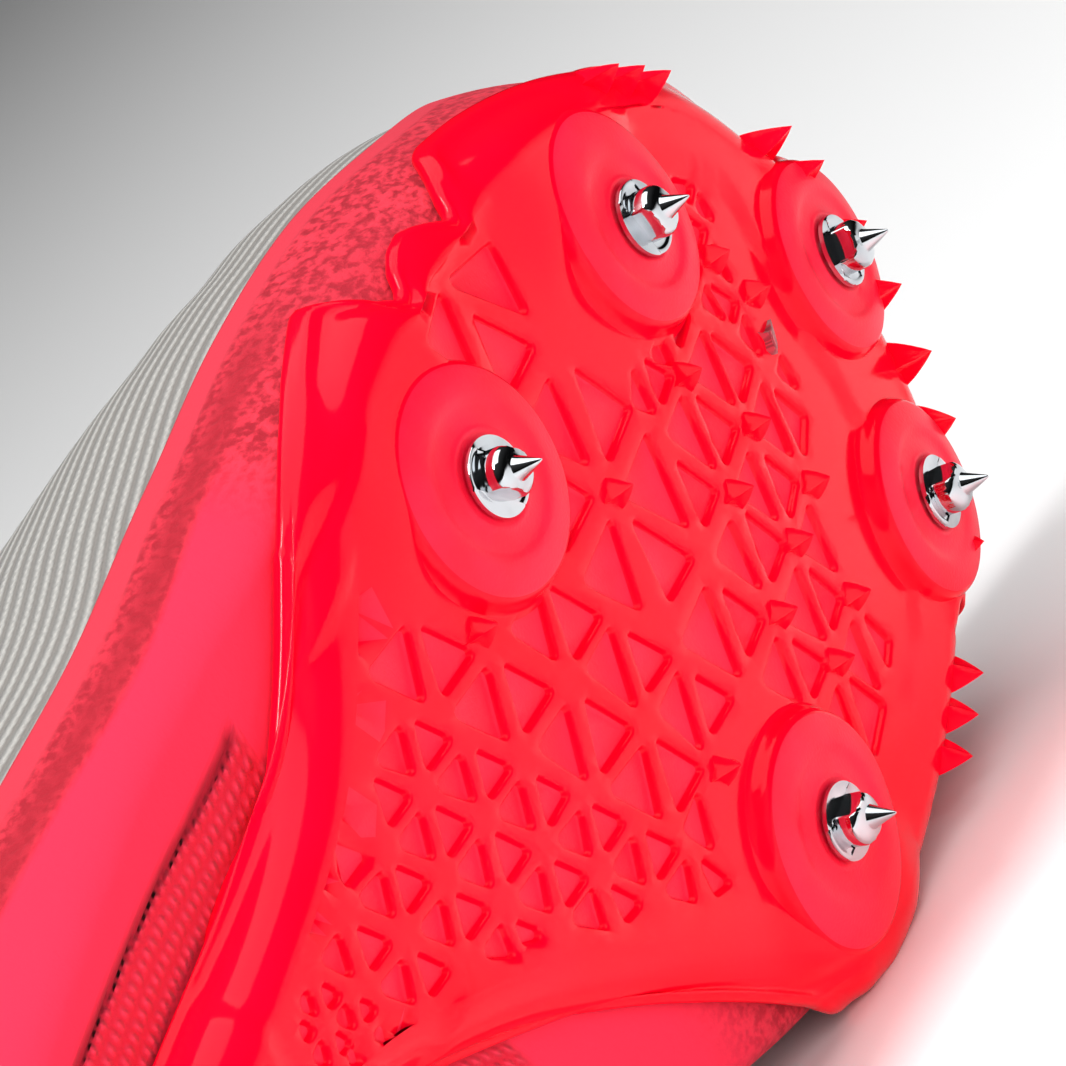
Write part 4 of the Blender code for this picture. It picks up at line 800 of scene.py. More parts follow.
@dataclass
class Plate:
    """The moulded plate: tread with its lattice, rolled rim, wings, thick lip and inner face."""

    finishes: Finishes
    tread: Tread = field(default_factory=Tread)
    first: float = 0.36
    corner_share: float = 0.72
    step: float = 0.0007
    rim_rows: int = 26
    lip_rows: int = 7
    tuck: float = 0.0045
    soften: float = 0.030
    wings_from: float = 0.700
    bead: float = 0.0005
    least_rim: float = 0.04
    inner_step: float = 0.0015
    inner_clear: float = 0.0008
    border_clear: float = 0.0009
    floor_within: float = 0.00010
    lateral: tuple = (
        (0.36, 0.26), (0.46, 0.25), (0.514, 0.35), (0.561, 0.62), (0.587, 0.82), (0.623, 1.09),
        (0.662, 1.30), (0.7120, 1.465), (0.7165, 1.475), (0.7190, 1.45), (0.7250, 1.32), (0.7323, 1.14),
        (0.7390, 1.05), (0.7415, 1.05), (0.7443, 1.07), (0.7503, 1.15), (0.7603, 1.205), (0.7698, 1.215),
        (0.7768, 1.17), (0.7853, 1.10), (0.7910, 1.05), (0.7945, 1.06), (0.7990, 1.15), (0.8120, 1.31),
        (0.8190, 1.395), (0.8250, 1.415), (0.8499, 1.39), (0.8829, 1.335), (0.9254, 1.27), (0.955, 1.32),
        (0.985, 1.44), (1.0, 1.50),
    )
    medial: tuple = (
        (0.36, 0.24), (0.46, 0.25), (0.55, 0.46), (0.635, 0.73), (0.715, 1.35), (0.770, 1.56), (0.7975, 1.60),
        (0.8010, 1.34), (0.8070, 1.34), (0.8105, 1.60), (0.855, 1.60), (0.8830, 1.55), (0.8860, 1.20),
        (0.9000, 1.20), (0.9030, 1.52), (0.955, 1.50), (0.985, 1.50), (1.0, 1.50),
    )

    def edge(self, u: np.ndarray, side: Side) -> np.ndarray:
        """Girth of the plate's upper edge: straight runs between the wings' corners, averaged over a
        length of the waist so that it bends softly there."""
        along, girth = zip(*(self.medial if side is Side.MEDIAL else self.lateral))
        here = LAST.rows(u)["along"]
        reach = self.soften * ease((self.wings_from - here) / self.soften)
        return sum(np.interp(here + reach * k, along, girth) for k in np.linspace(-1, 1, 9)) / 9

    def smooth_edge(self, u: np.ndarray, side: Side) -> np.ndarray:
        """The edge as it would be without its cuts, which places the corner of the tread."""
        return LAST.rows(u)["plate_medial" if side is Side.MEDIAL else "plate_lateral"]

    def stations(self, side: Side) -> np.ndarray:
        """Even stations of one side from the waist to the toe."""
        return LAST.even_stations(side, float(LAST.station_at(np.array(self.first))), 1.0, self.step)

    def rim(self, side: Side) -> tuple[np.ndarray, np.ndarray]:
        """The rim of one side: carrier points let down from the arch by an eased share, moved out
        along normals that turn from the tread's to the shell's, then round the lip and back inside.

        Returns:
            The grid of points, and the plan spots of its first row.
        """
        u = self.stations(side)
        smooth = self.smooth_edge(u, side)
        corner = np.minimum(FEATHER, self.corner_share * smooth)
        edge = np.maximum(self.edge(u, side), corner + self.least_rim)
        share = np.linspace(0.0, 1.0, self.rim_rows)
        girth = corner[:, None] + (edge - corner)[:, None] * share
        base = LAST.shell(u[:, None], side, girth)
        fall = (girth - corner[:, None]) / np.maximum(smooth - corner, 0.05)[:, None]
        base[..., 2] -= LAST.arch(base[..., 0]) * (1 - ease(fall))
        run, climb = np.gradient(base, axis=0), np.gradient(base, axis=1)
        normal = unit(np.cross(run, climb)) * -side.value
        start = base[:, 0, :2]
        down = self.tread.down(start)
        blend = ease(np.arange(self.rim_rows) / 5.0)[None, :, None]
        normal = unit(down[:, None] * (1 - blend) + normal * blend)
        height = np.cumsum(np.linalg.norm(np.diff(base, axis=1, prepend=base[:, :1]), axis=2), axis=1)
        below = height[:, -1:] - height
        bead = self.bead * (bell(below, 0.0012, 0.0009) - 0.5 * bell(below, 0.0034, 0.0012))
        bead *= ease(height / 0.004)
        swell = self.tread.swell(base[..., :2].reshape(-1, 2)).reshape(girth.shape)
        rib = bead + swell * (1 - ease((share - 0.12) / 0.7))
        outer = base + normal * (self.tread.lift + self.tread.thickness + rib)[..., None]
        reach = unit(base[:, -1] - base[:, -2])
        last_normal = normal[:, -1]
        half = self.tread.thickness / 2
        turn = np.linspace(0.0, math.pi, self.lip_rows)[1:]
        rise = self.tread.lift + half * (1 + np.cos(turn))
        lip = (
            base[:, -1, None] + last_normal[:, None] * rise[None, :, None]
            + reach[:, None] * (half * np.sin(turn))[None, :, None]
        )
        inside = lip[:, -1:] - reach[:, None] * np.minimum(self.tuck, 0.6 * height[:, -1])[:, None, None]
        return np.concatenate([outer, lip, inside], axis=1), start

    def build(self) -> bpy.types.Object:
        """Triangulate the tread round its pockets' rings, add the rims and make the object."""
        work = Patchwork("moulded_plate")
        spots = {}
        for side in SIDES:
            grid, spots[side] = self.rim(side)
            work.add_grid(grid, line_uv(grid), flip=side is Side.MEDIAL)
        outline = np.vstack([spots[Side.LATERAL], spots[Side.MEDIAL][-2::-1]])
        points, faces, slots = self.triangles(outline)
        work.add(points, faces, slot=slots)
        return report(
            work.build([self.finishes.gloss, self.finishes.matte], merge=8e-6), ("plate",)
        )

    def triangles(self, outline: np.ndarray) -> tuple[np.ndarray, np.ndarray, np.ndarray]:
        """The tread inside an outline, as triangles that follow the rings of the pockets.

        Args:
            outline: Plan spots round the tread.

        Returns:
            The points, the triangles, and the material slot of each.
        """
        loops = [outline]
        for ring in self.tread.loops():
            loops += list(ring)
        keep = [loops[0]] + [loop for loop in loops[1:] if inside_outline(loop, outline).all()]
        edges, start = [], 0
        for loop in keep:
            here = np.arange(len(loop))
            edges.append(np.stack([here, np.roll(here, -1)], 1) + start)
            start += len(loop)
        edges = np.concatenate(edges)
        ways = [np.arange(low, high, self.inner_step) for low, high in zip(outline.min(0), outline.max(0))]
        inner = np.stack(np.meshgrid(*ways), -1).reshape(-1, 2)
        inner = inner[inside_outline(inner, outline)]
        clear = self.tread.distance(inner) > self.inner_clear
        gap = np.min(np.linalg.norm(inner[:, None] - outline[None, ::3], axis=2), axis=1)
        spots = np.vstack(keep + [inner[clear & (gap > self.border_clear)]])
        given = [Vector(p) for p in spots / MM]
        verts, _, found, *_ = delaunay_2d_cdt(given, [tuple(map(int, e)) for e in edges], [], 0, 1e-5, False)
        spots = np.array([tuple(v) for v in verts]) * MM
        faces = np.array([f for f in found if len(f) == 3])
        centre = spots[faces].mean(1)
        faces = faces[inside_outline(centre, outline)]
        centre = spots[faces].mean(1)
        turn = np.cross(spots[faces[:, 1]] - spots[faces[:, 0]], spots[faces[:, 2]] - spots[faces[:, 0]])
        faces = np.where((turn > 0)[:, None], faces[:, ::-1], faces)
        floors = self.tread.distance(centre) < self.floor_within
        return self.tread.place(spots, self.tread.rise(spots)), faces, floors.astype(int)


def inside_outline(spots: np.ndarray, outline: np.ndarray) -> np.ndarray:
    """Whether plan spots lie inside a closed outline, by counting crossings to one side."""
    start, end = outline, np.roll(outline, -1, axis=0)
    y = spots[:, 1][:, None]
    crosses = (start[:, 1] > y) != (end[:, 1] > y)
    slope = (end[:, 0] - start[:, 0]) / np.where(end[:, 1] == start[:, 1], 1e-12, end[:, 1] - start[:, 1])
    x = start[:, 0] + slope * (y - start[:, 1])
    return (crosses & (spots[:, 0][:, None] < x)).sum(1) % 2 == 1


def turned_grid(profile: np.ndarray, segments: int, centre: np.ndarray, axis: np.ndarray) -> np.ndarray:
    """A profile of radius and height turned about an axis: rows along the profile, columns round it."""
    frame = np.array(Vector(axis).to_track_quat("Z", "Y").to_matrix())
    angle = np.linspace(0, 2 * math.pi, segments, endpoint=False)
    local = np.stack([
        profile[:, 0, None] * np.cos(angle), profile[:, 0, None] * np.sin(angle),
        np.broadcast_to(profile[:, 1, None], (len(profile), segments)),
    ], -1)
    return local @ frame.T + centre


@dataclass
class Pads:
    """The five round matte pads, each a shallow dish with a step and a rounded edge."""

    finishes: Finishes
    segments: int = 128
    face_rows: int = 50
    profile_rows: int = 70
    drawn_radius: float = 0.0128
    profile: tuple = (
        (2.2, -0.6), (4.75, -0.05), (5.05, 0.08), (5.4, 0.08), (5.8, -0.12), (7.0, -0.30), (7.8, -0.26),
        (8.5, -0.03), (9.1, 0.02), (10.0, -0.12), (11.1, -0.42), (12.0, -0.72), (12.45, -0.98), (12.8, -1.5),
        (13.05, -2.3), (13.4, -3.0), (14.2, -3.6),
    )

    def build(self) -> bpy.types.Object:
        """Turn each pad, stretch its outer part towards its reach, and join them in one mesh."""
        tread = Tread()
        work = Patchwork("matte_pads")
        profile = np.array(self.profile) * MM
        fine = np.linspace(0, len(profile) - 1, self.profile_rows)
        index = np.arange(len(profile))
        profile = np.stack([np.interp(fine, index, profile[:, k]) for k in (0, 1)], -1)
        kernel = np.array([0.25, 0.5, 0.25])
        for _ in range(3):
            profile[1:-1] = sum(w * profile[k:len(profile) - 2 + k] for k, w in enumerate(kernel))
        for seat in SEATS:
            down = tread.down(seat.spot)[0]
            face = tread.place(seat.spot, np.array([PAD_RISE]))[0]
            angle = np.linspace(0, 2 * math.pi, self.segments, endpoint=False)
            across = unit(np.cross(down, np.array([1.0, 0.0, 0.0])))
            ahead = np.cross(across, down)
            radius = profile[:, :1] * seat.radius / self.drawn_radius
            outer = ease((radius / seat.radius - 0.45) / 0.55)
            toward = np.maximum(np.cos(angle - math.radians(seat.bearing)), 0) ** 2
            radius = radius * (1 + seat.reach * toward * outer)
            medial = across * (1 if across[1] > 0 else -1)
            forth, sideways = radius * np.cos(angle), radius * np.sin(angle)
            grid = face + ahead * forth[..., None] + medial * sideways[..., None]
            grid += down * profile[:, 1, None, None]
            work.add_grid(grid[:self.face_rows], closed=True, flip=True)
            work.add_grid(grid[self.face_rows - 1:], closed=True, flip=True, slot=1)
        pads = work.build([self.finishes.matte, self.finishes.gloss])
        return report(pads)


@dataclass
class Spikes:
    """The steel spikes, each a dished flange, a hub with two flats and a domed shoulder, and a cone."""

    finishes: Finishes
    segments: int = 96
    half_flat: float = 0.0023
    profile: tuple = (
        (0.0, -1.4), (2.3, -1.4), (2.3, 0.30), (4.35, 0.30), (4.5, 0.42), (4.5, 0.98), (4.42, 1.12),
        (4.25, 1.17), (3.95, 1.16), (3.75, 1.02), (3.5, 0.98), (3.02, 1.00), (3.0, 1.15), (3.0, 2.9),
        (2.9, 3.25), (2.62, 3.6), (2.2, 3.86), (1.7, 3.98), (1.42, 4.08), (1.3, 4.3), (0.75, 5.7),
        (0.22, 7.0), (0.12, 7.16), (0.0, 7.2),
    )
    flat_turns: tuple = (35, 80, 60, 20, 50)
    flats_from: float = 1.05
    flats_to: float = 3.7

    def build(self) -> None:
        """Turn each spike about its seat's normal, press its two flats and make it a piece."""
        tread = Tread()
        profile = np.array(self.profile) * MM
        for seat, degrees in zip(SEATS, self.flat_turns):
            down = tread.down(seat.spot)[0]
            face = tread.place(seat.spot, np.array([PAD_RISE]))[0]
            grid = turned_grid(profile, self.segments, np.zeros(3), down)
            frame = np.array(Vector(down).to_track_quat("Z", "Y").to_matrix())
            turn = math.radians(degrees)
            flat = frame @ np.array([math.cos(turn), math.sin(turn), 0.0])
            rows = (profile[:, 1] > self.flats_from * MM) & (profile[:, 1] < self.flats_to * MM)
            reach = grid @ flat
            press = np.clip(reach, -self.half_flat, self.half_flat) - reach
            grid = grid + (press * rows[:, None])[..., None] * flat + face
            work = Patchwork("steel_" + seat.node)
            work.add_grid(grid, closed=True, flip=True)
            report(work.build([self.finishes.steel], sharp=38.0), (seat.node,))


@dataclass(frozen=True)
class RimTooth:
    """A tooth of the rim: side, share along the shoe, girth of its foot, how far it leans out for
    each length down, and its height."""

    side: Side
    along: float
    girth: float
    splay: float
    height: float


RIM_TEETH = (
    RimTooth(Side.LATERAL, 0.9240, 1.18, 0.35, 0.0049), RimTooth(Side.LATERAL, 0.9385, 1.15, 0.35, 0.0049),
    RimTooth(Side.LATERAL, 0.9530, 1.13, 0.35, 0.0049), RimTooth(Side.LATERAL, 0.9961, 1.25, 0.50, 0.0062),
    RimTooth(Side.LATERAL, 0.9997, 1.20, 0.70, 0.0062), RimTooth(Side.MEDIAL, 0.9984, 1.20, 0.70, 0.0062),
    RimTooth(Side.MEDIAL, 0.9939, 1.15, 0.35, 0.0062), RimTooth(Side.MEDIAL, 0.9859, 1.15, 0.35, 0.0055),
    RimTooth(Side.MEDIAL, 0.9704, 1.15, 0.35, 0.0050), RimTooth(Side.MEDIAL, 0.9270, 1.15, 0.35, 0.0050),
    RimTooth(Side.MEDIAL, 0.8690, 1.15, 0.35, 0.0048), RimTooth(Side.MEDIAL, 0.8490, 1.15, 0.35, 0.0048),
    RimTooth(Side.MEDIAL, 0.8270, 1.12, 0.35, 0.0048),
)

# Crossings of the lattice that carry a small tooth, in the plan of the tread, in millimetres
NODE_TEETH = (
    (37.0, 1.5), (33.0, -10.5), (26.5, 2.0), (39.0, 13.0), (29.5, 13.0), (32.0, 24.5), (22.0, 25.0),
    (19.0, 14.0), (11.0, -14.0), (52.0, -11.5), (54.0, -4.0), (50.0, -18.0), (-4.5, 14.0), (-18.0, -23.0),
)


@dataclass
class Teeth:
    """The thorns of the rim and of the lattice, each a ridge-edged pyramid with hollow flanks."""

    finishes: Finishes
    levels: int = 8
    rim_half: float = 0.0033
    rim_depth: float = 0.0025
    root: float = 0.0010
    node_height: float = 0.0029
    node_half: float = 0.0026

    def thorn(self, foot: np.ndarray, run: np.ndarray, across: np.ndarray, tip: np.ndarray) -> np.ndarray:
        """A pyramid from a four-cornered foot to a tip: each level shrinks as (1 - t^1.6)^1.1 with its
        sides drawn in between the corners, and its middle moves straight to the tip."""
        t = np.linspace(0.0, 1.0, self.levels)[:, None, None]
        ring = np.stack([run, (run + across) * 0.36, across, (across - run) * 0.36,
                         -run, (-run - across) * 0.36, -across, (run - across) * 0.36])
        size = np.maximum(1 - t**1.6 * 0.96, 0.0) ** 1.1
        size[-1] = 0.0
        return foot + (tip - foot) * t + ring[None] * size

    def build(self) -> bpy.types.Object:
        """Make all the thorns as one piece."""
        work = Patchwork("rim_and_lattice_teeth")
        face = PLATE_LIFT + PLATE_WALL
        for tooth in RIM_TEETH:
            u, g = np.array(LAST.station_at(np.array(tooth.along))), np.array(tooth.girth)
            foot = LAST.shell(u, tooth.side, g)
            ahead, behind = np.minimum(u + STATION_STEP, 1.0), u - STATION_STEP
            run = unit(LAST.shell(ahead, tooth.side, g) - LAST.shell(behind, tooth.side, g))
            above, below = g + GIRTH_STEP, g - GIRTH_STEP
            climb = unit(LAST.shell(u, tooth.side, above) - LAST.shell(u, tooth.side, below))
            out = unit(np.cross(run, climb)) * -tooth.side.value
            aim = unit(out * tooth.splay + np.array([0.0, 0.0, -1.0]))
            tip = foot + out * face + aim * tooth.height
            root = foot + out * (face - self.root)
            grid = self.thorn(root, run * self.rim_half, climb * self.rim_depth, tip)
            work.add_grid(grid, closed=True, flip=tooth.side is Side.LATERAL)
        tread = Tread()
        spots = SolePlan().on_last(np.array(NODE_TEETH))
        for spot in spots:
            down = tread.down(spot[None])[0]
            foot = tread.place(spot[None], np.array([-0.0004]))[0]
            run = unit(np.array([1.0, 0.25, 0.0]) - down * down[0]) * self.node_half
            across = unit(np.cross(down, run)) * self.node_half * 0.8
            tip = foot + down * self.node_height + unit(run) * 0.0006
            work.add_grid(self.thorn(foot, run, across, tip), closed=True, flip=True)
        return report(work.build([self.finishes.gloss], sharp=40.0))


@dataclass
class Sheet:
    """A layer of the shell on both sides, between two girths, with soft relief and masks."""

    name: str
    low: Callable
    high: Callable
    lift: float
    first: float = 0.0
    last: float = 1.0
    step: float = 0.0014
    rows: int = 72
    relief: Callable | None = None
    masks: Callable | None = None

    def grids(self) -> list[tuple[Side, np.ndarray, np.ndarray, dict]]:
        """The layer's points, UVs and masks on each side."""
        made = []
        u = LAST.even_stations(Side.LATERAL, self.first, self.last, self.step)
        for side in SIDES:
            low, high = self.low(u, side), self.high(u, side)
            girth = low[:, None] + (high - low)[:, None] * np.linspace(0, 1, self.rows)
            base = LAST.shell(u[:, None], side, girth)
            uv = line_uv(base)
            run, climb = np.gradient(base, axis=0), np.gradient(base, axis=1)
            normal = unit(np.cross(run, climb)) * -side.value
            normal[girth > 2.995] = unit(normal[girth > 2.995] * np.array([1.0, 0.0, 1.0]))
            out = self.lift + (self.relief(base, girth, uv, side) if self.relief else 0.0)
            made.append((side, base + normal * np.broadcast_to(out, girth.shape)[..., None], uv,
                         self.masks(base, girth, uv, side) if self.masks else {}))
        return made

    def build(self, materials: list, thickness: float, outward: bool) -> bpy.types.Object:
        """Make the layer with a solid wall whose inner face takes the last material."""
        work = Patchwork(self.name)
        for side, grid, uv, masks in self.grids():
            work.add_grid(grid, uv, flip=side is Side.MEDIAL, masks=masks)
        obj = work.build(materials, merge=3e-5)
        wall = obj.modifiers.new("wall", "SOLIDIFY")
        wall.thickness = thickness
        wall.offset = 1.0 if outward else -1.0
        wall.use_even_offset = False
        wall.material_offset = len(materials) - 1
        wall.material_offset_rim = 0
        return obj


def constant(girth: float) -> Callable:
    """A girth that is the same at every station."""
    return lambda u, side: np.full_like(u, girth)


@dataclass
class Upper:
    """The knitted upper with its creases, and the suede guard fused round it."""

    finishes: Finishes
    wall: float = 0.0016
    guard_wall: float = 0.0008
    clearance: float = 0.0003
    setback: float = 0.06
    border: float = 3.4
    tuck_from: float = 0.395
    tuck_fade: float = 0.05
    seam: tuple = (
        (0.36, 0.92), (0.4036, 0.867), (0.4546, 0.821), (0.5127, 0.775), (0.5450, 0.790), (0.5537, 0.815),
    )
    guard_step: float = 0.0012
    guard_rows: int = 80
    creases: tuple = (
        (0.018, 2.72, 0.0007), (0.030, 2.62, 0.0009), (0.043, 2.70, 0.0006), (-0.118, 2.05, 0.0006),
    )

    def opening(self, u: np.ndarray, side: Side) -> np.ndarray:
        """Girth of the collar and throat."""
        return np.minimum(LAST.rows(u)["open"], RIDGE)

    def guard_top(self, u: np.ndarray, side: Side) -> np.ndarray:
        """Girth of the guard's upper edge."""
        return np.minimum(LAST.rows(u)["guard"], self.opening(u, side) - self.setback)

    def folds(self, base: np.ndarray, girth: np.ndarray, uv: np.ndarray, side: Side) -> np.ndarray:
        """Soft troughs across the vamp where the toes bend, each with a low ridge before it."""
        out = np.zeros(girth.shape)
        for x, middle, depth in self.creases:
            bow = base[..., 0] - x + 0.25 * np.abs(base[..., 1])
            here = bell(girth, middle, 0.36)
            out -= depth * here * (bell(bow, 0.0, 0.0042) - 0.6 * bell(bow, 0.0095, 0.0055))
        return out

    def zones(self, base: np.ndarray, girth: np.ndarray, uv: np.ndarray, side: Side) -> dict[str, np.ndarray]:
        """Masks of the guard: border strip, waist panel, net, dark band and seam."""
        along = base[..., 0] / LAST.length + LAST.ball_share
        below = uv[:, -1:, 1] - uv[..., 1]
        border = ease((self.border - below) / 0.5)
        seam_at = np.interp(along, *zip(*self.seam))
        waist = ease((self.seam[-1][0] + 0.002 - along) / 0.004) * ease((along - self.seam[0][0]) / 0.02)
        net = ease((seam_at - girth) / 0.014) * waist
        seam = bell(girth, seam_at, 0.026) * waist
        band = bell(below, 6.2, 2.2) * ease((0.75 - along) / 0.06)
        panel = ease((0.665 - along) / 0.05) * ease((below - 7.6) / 1.2) * ease((along - 0.24) / 0.05)
        return {"border": border, "seam": seam, "net": net, "panel": panel * (1 - net), "band": 0.85 * band}

    def flange(self, u: np.ndarray, side: Side) -> np.ndarray:
        """Girth of the lasting margin under the foot."""
        return np.minimum(LAST.rows(u)["flange"], FEATHER)

    def guard_root(self, u: np.ndarray, side: Side) -> np.ndarray:
        """Girth of the guard's lower edge, tucked under the plate in front of the heel."""
        heel = ease((self.tuck_from - LAST.rows(u)["along"]) / self.tuck_fade)
        return np.minimum(self.flange(u, side) + self.setback + heel, FEATHER)

    def build(self) -> None:
        """Make the knit and the guard."""
        low = Sheet("knitted_upper", self.flange, self.opening, 0.0, relief=self.folds)
        knit = low.build([self.finishes.knit, self.finishes.lining], self.wall, False)
        report(knit, ("upper",))
        guard = Sheet(
            "suede_guard", self.guard_root, self.guard_top, self.clearance,
            step=self.guard_step, rows=self.guard_rows, masks=self.zones,
        )
        report(guard.build([self.finishes.suede], self.guard_wall, True), ("guard",))


@dataclass
class Throat:
    """The tongue, the bound eyelets and the flat lace that runs through them."""

    finishes: Finishes
    rows: int = 6
    inset: float = 0.0075
    hole: float = 0.0021
    width: float = 0.0056
    thick: float = 0.0011
    clearance: float = 0.0006
    stagger: float = 0.0004
    ring_half: float = 0.0006
    ring_rise: float = 0.0005
    ring_lift: float = 0.00005
    tongue_girth: float = 2.66
    tongue_lift: float = -0.0023
    tongue_wall: float = 0.0022

    def spots(self) -> list[tuple[float, Side, float]]:
        """Station, side and girth of each eyelet, row by row, lateral then medial."""
        front, back = (float(LAST.station_at(np.array(a))) for a in EYELET_SPAN)
        made = []
        for k in range(self.rows):
            u = front + (back - front) * k / (self.rows - 1)
            edge = min(float(LAST.rows(np.array(u))["open"]), RIDGE)
            for side in SIDES:
                ends = LAST.shell(np.array([u, u]), side, np.array([edge, edge - GIRTH_STEP]))
                width = float(np.linalg.norm(ends[0] - ends[1]))
                made.append((u, side, edge - GIRTH_STEP * self.inset / width))
        return made

    def path(self, start: tuple, end: tuple, raised: float, steps: int = 40) -> tuple[np.ndarray, np.ndarray]:
        """A bar's line over the instep and its normals: up out of one eyelet, over, and down again."""
        (u1, side, g1), (u2, other, g2) = start, end
        share = np.linspace(0, 1, steps)
        u = u1 + (u2 - u1) * share
        girth = g1 + (2 * RIDGE - g1 - g2) * share
        near = girth <= RIDGE
        g = np.where(near, girth, 2 * RIDGE - girth)
        one, two = (LAST.shell(u, s, g) for s in (side, other))
        n_one, n_two = (LAST.normal(u, s, np.minimum(g, 2.97)) for s in (side, other))
        point = np.where(near[:, None], one, two)
        normal = np.where(near[:, None], n_one, n_two)
        fade = np.clip((g - 2.85) / 0.15, 0, 1)[:, None] * 0.5
        normal = unit(normal * (1 - fade) + np.where(near[:, None], n_two, n_one) * fade)
        dip = ease(np.minimum(share, 1 - share) / 0.07)
        height = (self.clearance + raised) * dip - 0.0028 * (1 - dip)
        return point + normal * height[:, None], normal

    def ribbon(self, work: Patchwork, line: np.ndarray, normal: np.ndarray) -> None:
        """A flat tube with round edges along a line, narrower where it passes an eyelet."""
        run = unit(np.gradient(line, axis=0))
        across = unit(np.cross(run, normal))
        up = np.cross(across, run)
        share = np.linspace(0, 1, len(line))
        narrow = 0.56 + 0.44 * ease(np.minimum(share, 1 - share) / 0.12)
        angle = np.linspace(0, 2 * math.pi, 20, endpoint=False)
        wide = np.sign(np.cos(angle)) * np.abs(np.cos(angle)) ** 0.5 * self.width / 2
        tall = np.sin(angle) * self.thick / 2 + self.thick / 2
        grid = line[:, None] + across[:, None] * (narrow[:, None] * wide)[..., None]
        grid = grid + up[:, None] * tall[None, :, None]
        work.add_grid(grid, line_uv(grid), closed=True)

    def build(self) -> None:
        """Make the lace, the eyelet rings and the tongue."""
        spots = self.spots()
        work = Patchwork("flat_lace")
        self.ribbon(work, *self.path(spots[0], spots[1], self.stagger / 2))
        for row in range(self.rows - 1):
            self.ribbon(work, *self.path(spots[2 * row], spots[2 * row + 3], 0.0))
            self.ribbon(work, *self.path(spots[2 * row + 1], spots[2 * row + 2], self.stagger + self.thick))
        report(work.build([self.finishes.lace]), ("lace",))
        rings = Patchwork("eyelet_rings")
        angle = np.linspace(0, 2 * math.pi, 10, endpoint=False)
        out = self.hole + self.ring_half * (1 + np.cos(angle))
        profile = np.stack([out, self.ring_lift + self.ring_rise * np.sin(angle)], -1)
        for u, side, girth in spots:
            at, g = np.array(u), np.array(girth)
            axis, centre = LAST.normal(at, side, g), LAST.shell(at, side, g)
            grid = turned_grid(np.vstack([profile, profile[:1]]), 28, centre, axis)
            rings.add_grid(grid, closed=True, flip=True)
        report(rings.build([self.finishes.cuff]))
        first, last = (float(LAST.station_at(np.array(a))) for a in TONGUE_SPAN)
        low, high = constant(self.tongue_girth), constant(RIDGE)
        pad = Sheet("padded_tongue", low, high, self.tongue_lift, first, last, rows=40)
        tongue = pad.build([self.finishes.cuff], self.tongue_wall, False)
        report(tongue, ("tongue",))


@dataclass
class Base:
    """The sock liner inside and the foam wedge under the heel."""

    finishes: Finishes
    wedge_flare: float = 0.0030
    wedge_nose: float = 0.0030
    flat_from: float = 0.22
    wedge_to: float = 0.345
    floor: float = 0.0010813
    liner_lift: float = -0.0019
    liner_wall: float = 0.0030
    liner_girth: float = 0.9
    station_step: float = 0.0014

    def wedge_profile(self) -> np.ndarray:
        """The wedge's edge from top to foot: shares of the flare, and of the height over the foot."""
        knots = np.array([(0.0, 1.0), (0.35, 0.9), (0.6, 0.75), (0.9, 0.45), (1.0, 0.25), (0.93, 0.10),
                          (0.6, 0.02), (0.0, 0.0)])
        fine = np.linspace(0, len(knots) - 1, 28)
        return np.stack([np.interp(fine, np.arange(len(knots)), knots[:, k]) for k in (0, 1)], -1)

    def build(self) -> None:
        """Make both pieces."""
        liner = Sheet("sock_liner", constant(0.0), constant(self.liner_girth), self.liner_lift, rows=24)
        pad = liner.build([self.finishes.lining], self.liner_wall, False)
        report(pad, ("insole",))
        work = Patchwork("foam_heel_wedge")
        profile = self.wedge_profile()
        last_u = float(LAST.station_at(np.array(self.wedge_to)))
        u = LAST.even_stations(Side.LATERAL, 0.0, last_u, self.station_step)
        for side in SIDES:
            ones = np.ones_like(u)
            spine, feather = LAST.shell(u, side, 0 * ones), LAST.shell(u, side, ones)
            out = LAST.shell(u, side, WIDEST * ones) - feather
            out[:, 2] = 0.0
            out = unit(out)
            taper = ease((LAST.rows(u)["along"] - self.flat_from) / (self.wedge_to - self.flat_from))
            top = spine[:, 2] - PLATE_LIFT
            low = self.floor + (top - self.wedge_nose - self.floor) * taper
            height = low[:, None] + (top - low)[:, None] * profile[:, 1]
            ring = np.zeros((len(u), len(profile), 3))
            flare = (self.wedge_flare * profile[:, 0])[None, :, None]
            ring[..., :2] = feather[:, None, :2] + out[:, None, :2] * flare
            ring[..., 2] = height
            upper_end, lower_end = spine.copy(), spine.copy()
            upper_end[:, 2], lower_end[:, 2] = top, low
            grid = np.concatenate([upper_end[:, None], ring, lower_end[:, None]], 1)
            work.add_grid(grid, flip=side is Side.LATERAL)
            nose = grid[-1]
            fan = np.array([[0, k, k + 1] for k in range(1, len(nose) - 1)])
            work.add(nose, fan if side is Side.LATERAL else fan[:, ::-1])
        report(work.build([self.finishes.foam], merge=2e-5, sharp=50.0), ("heel_wedge",))


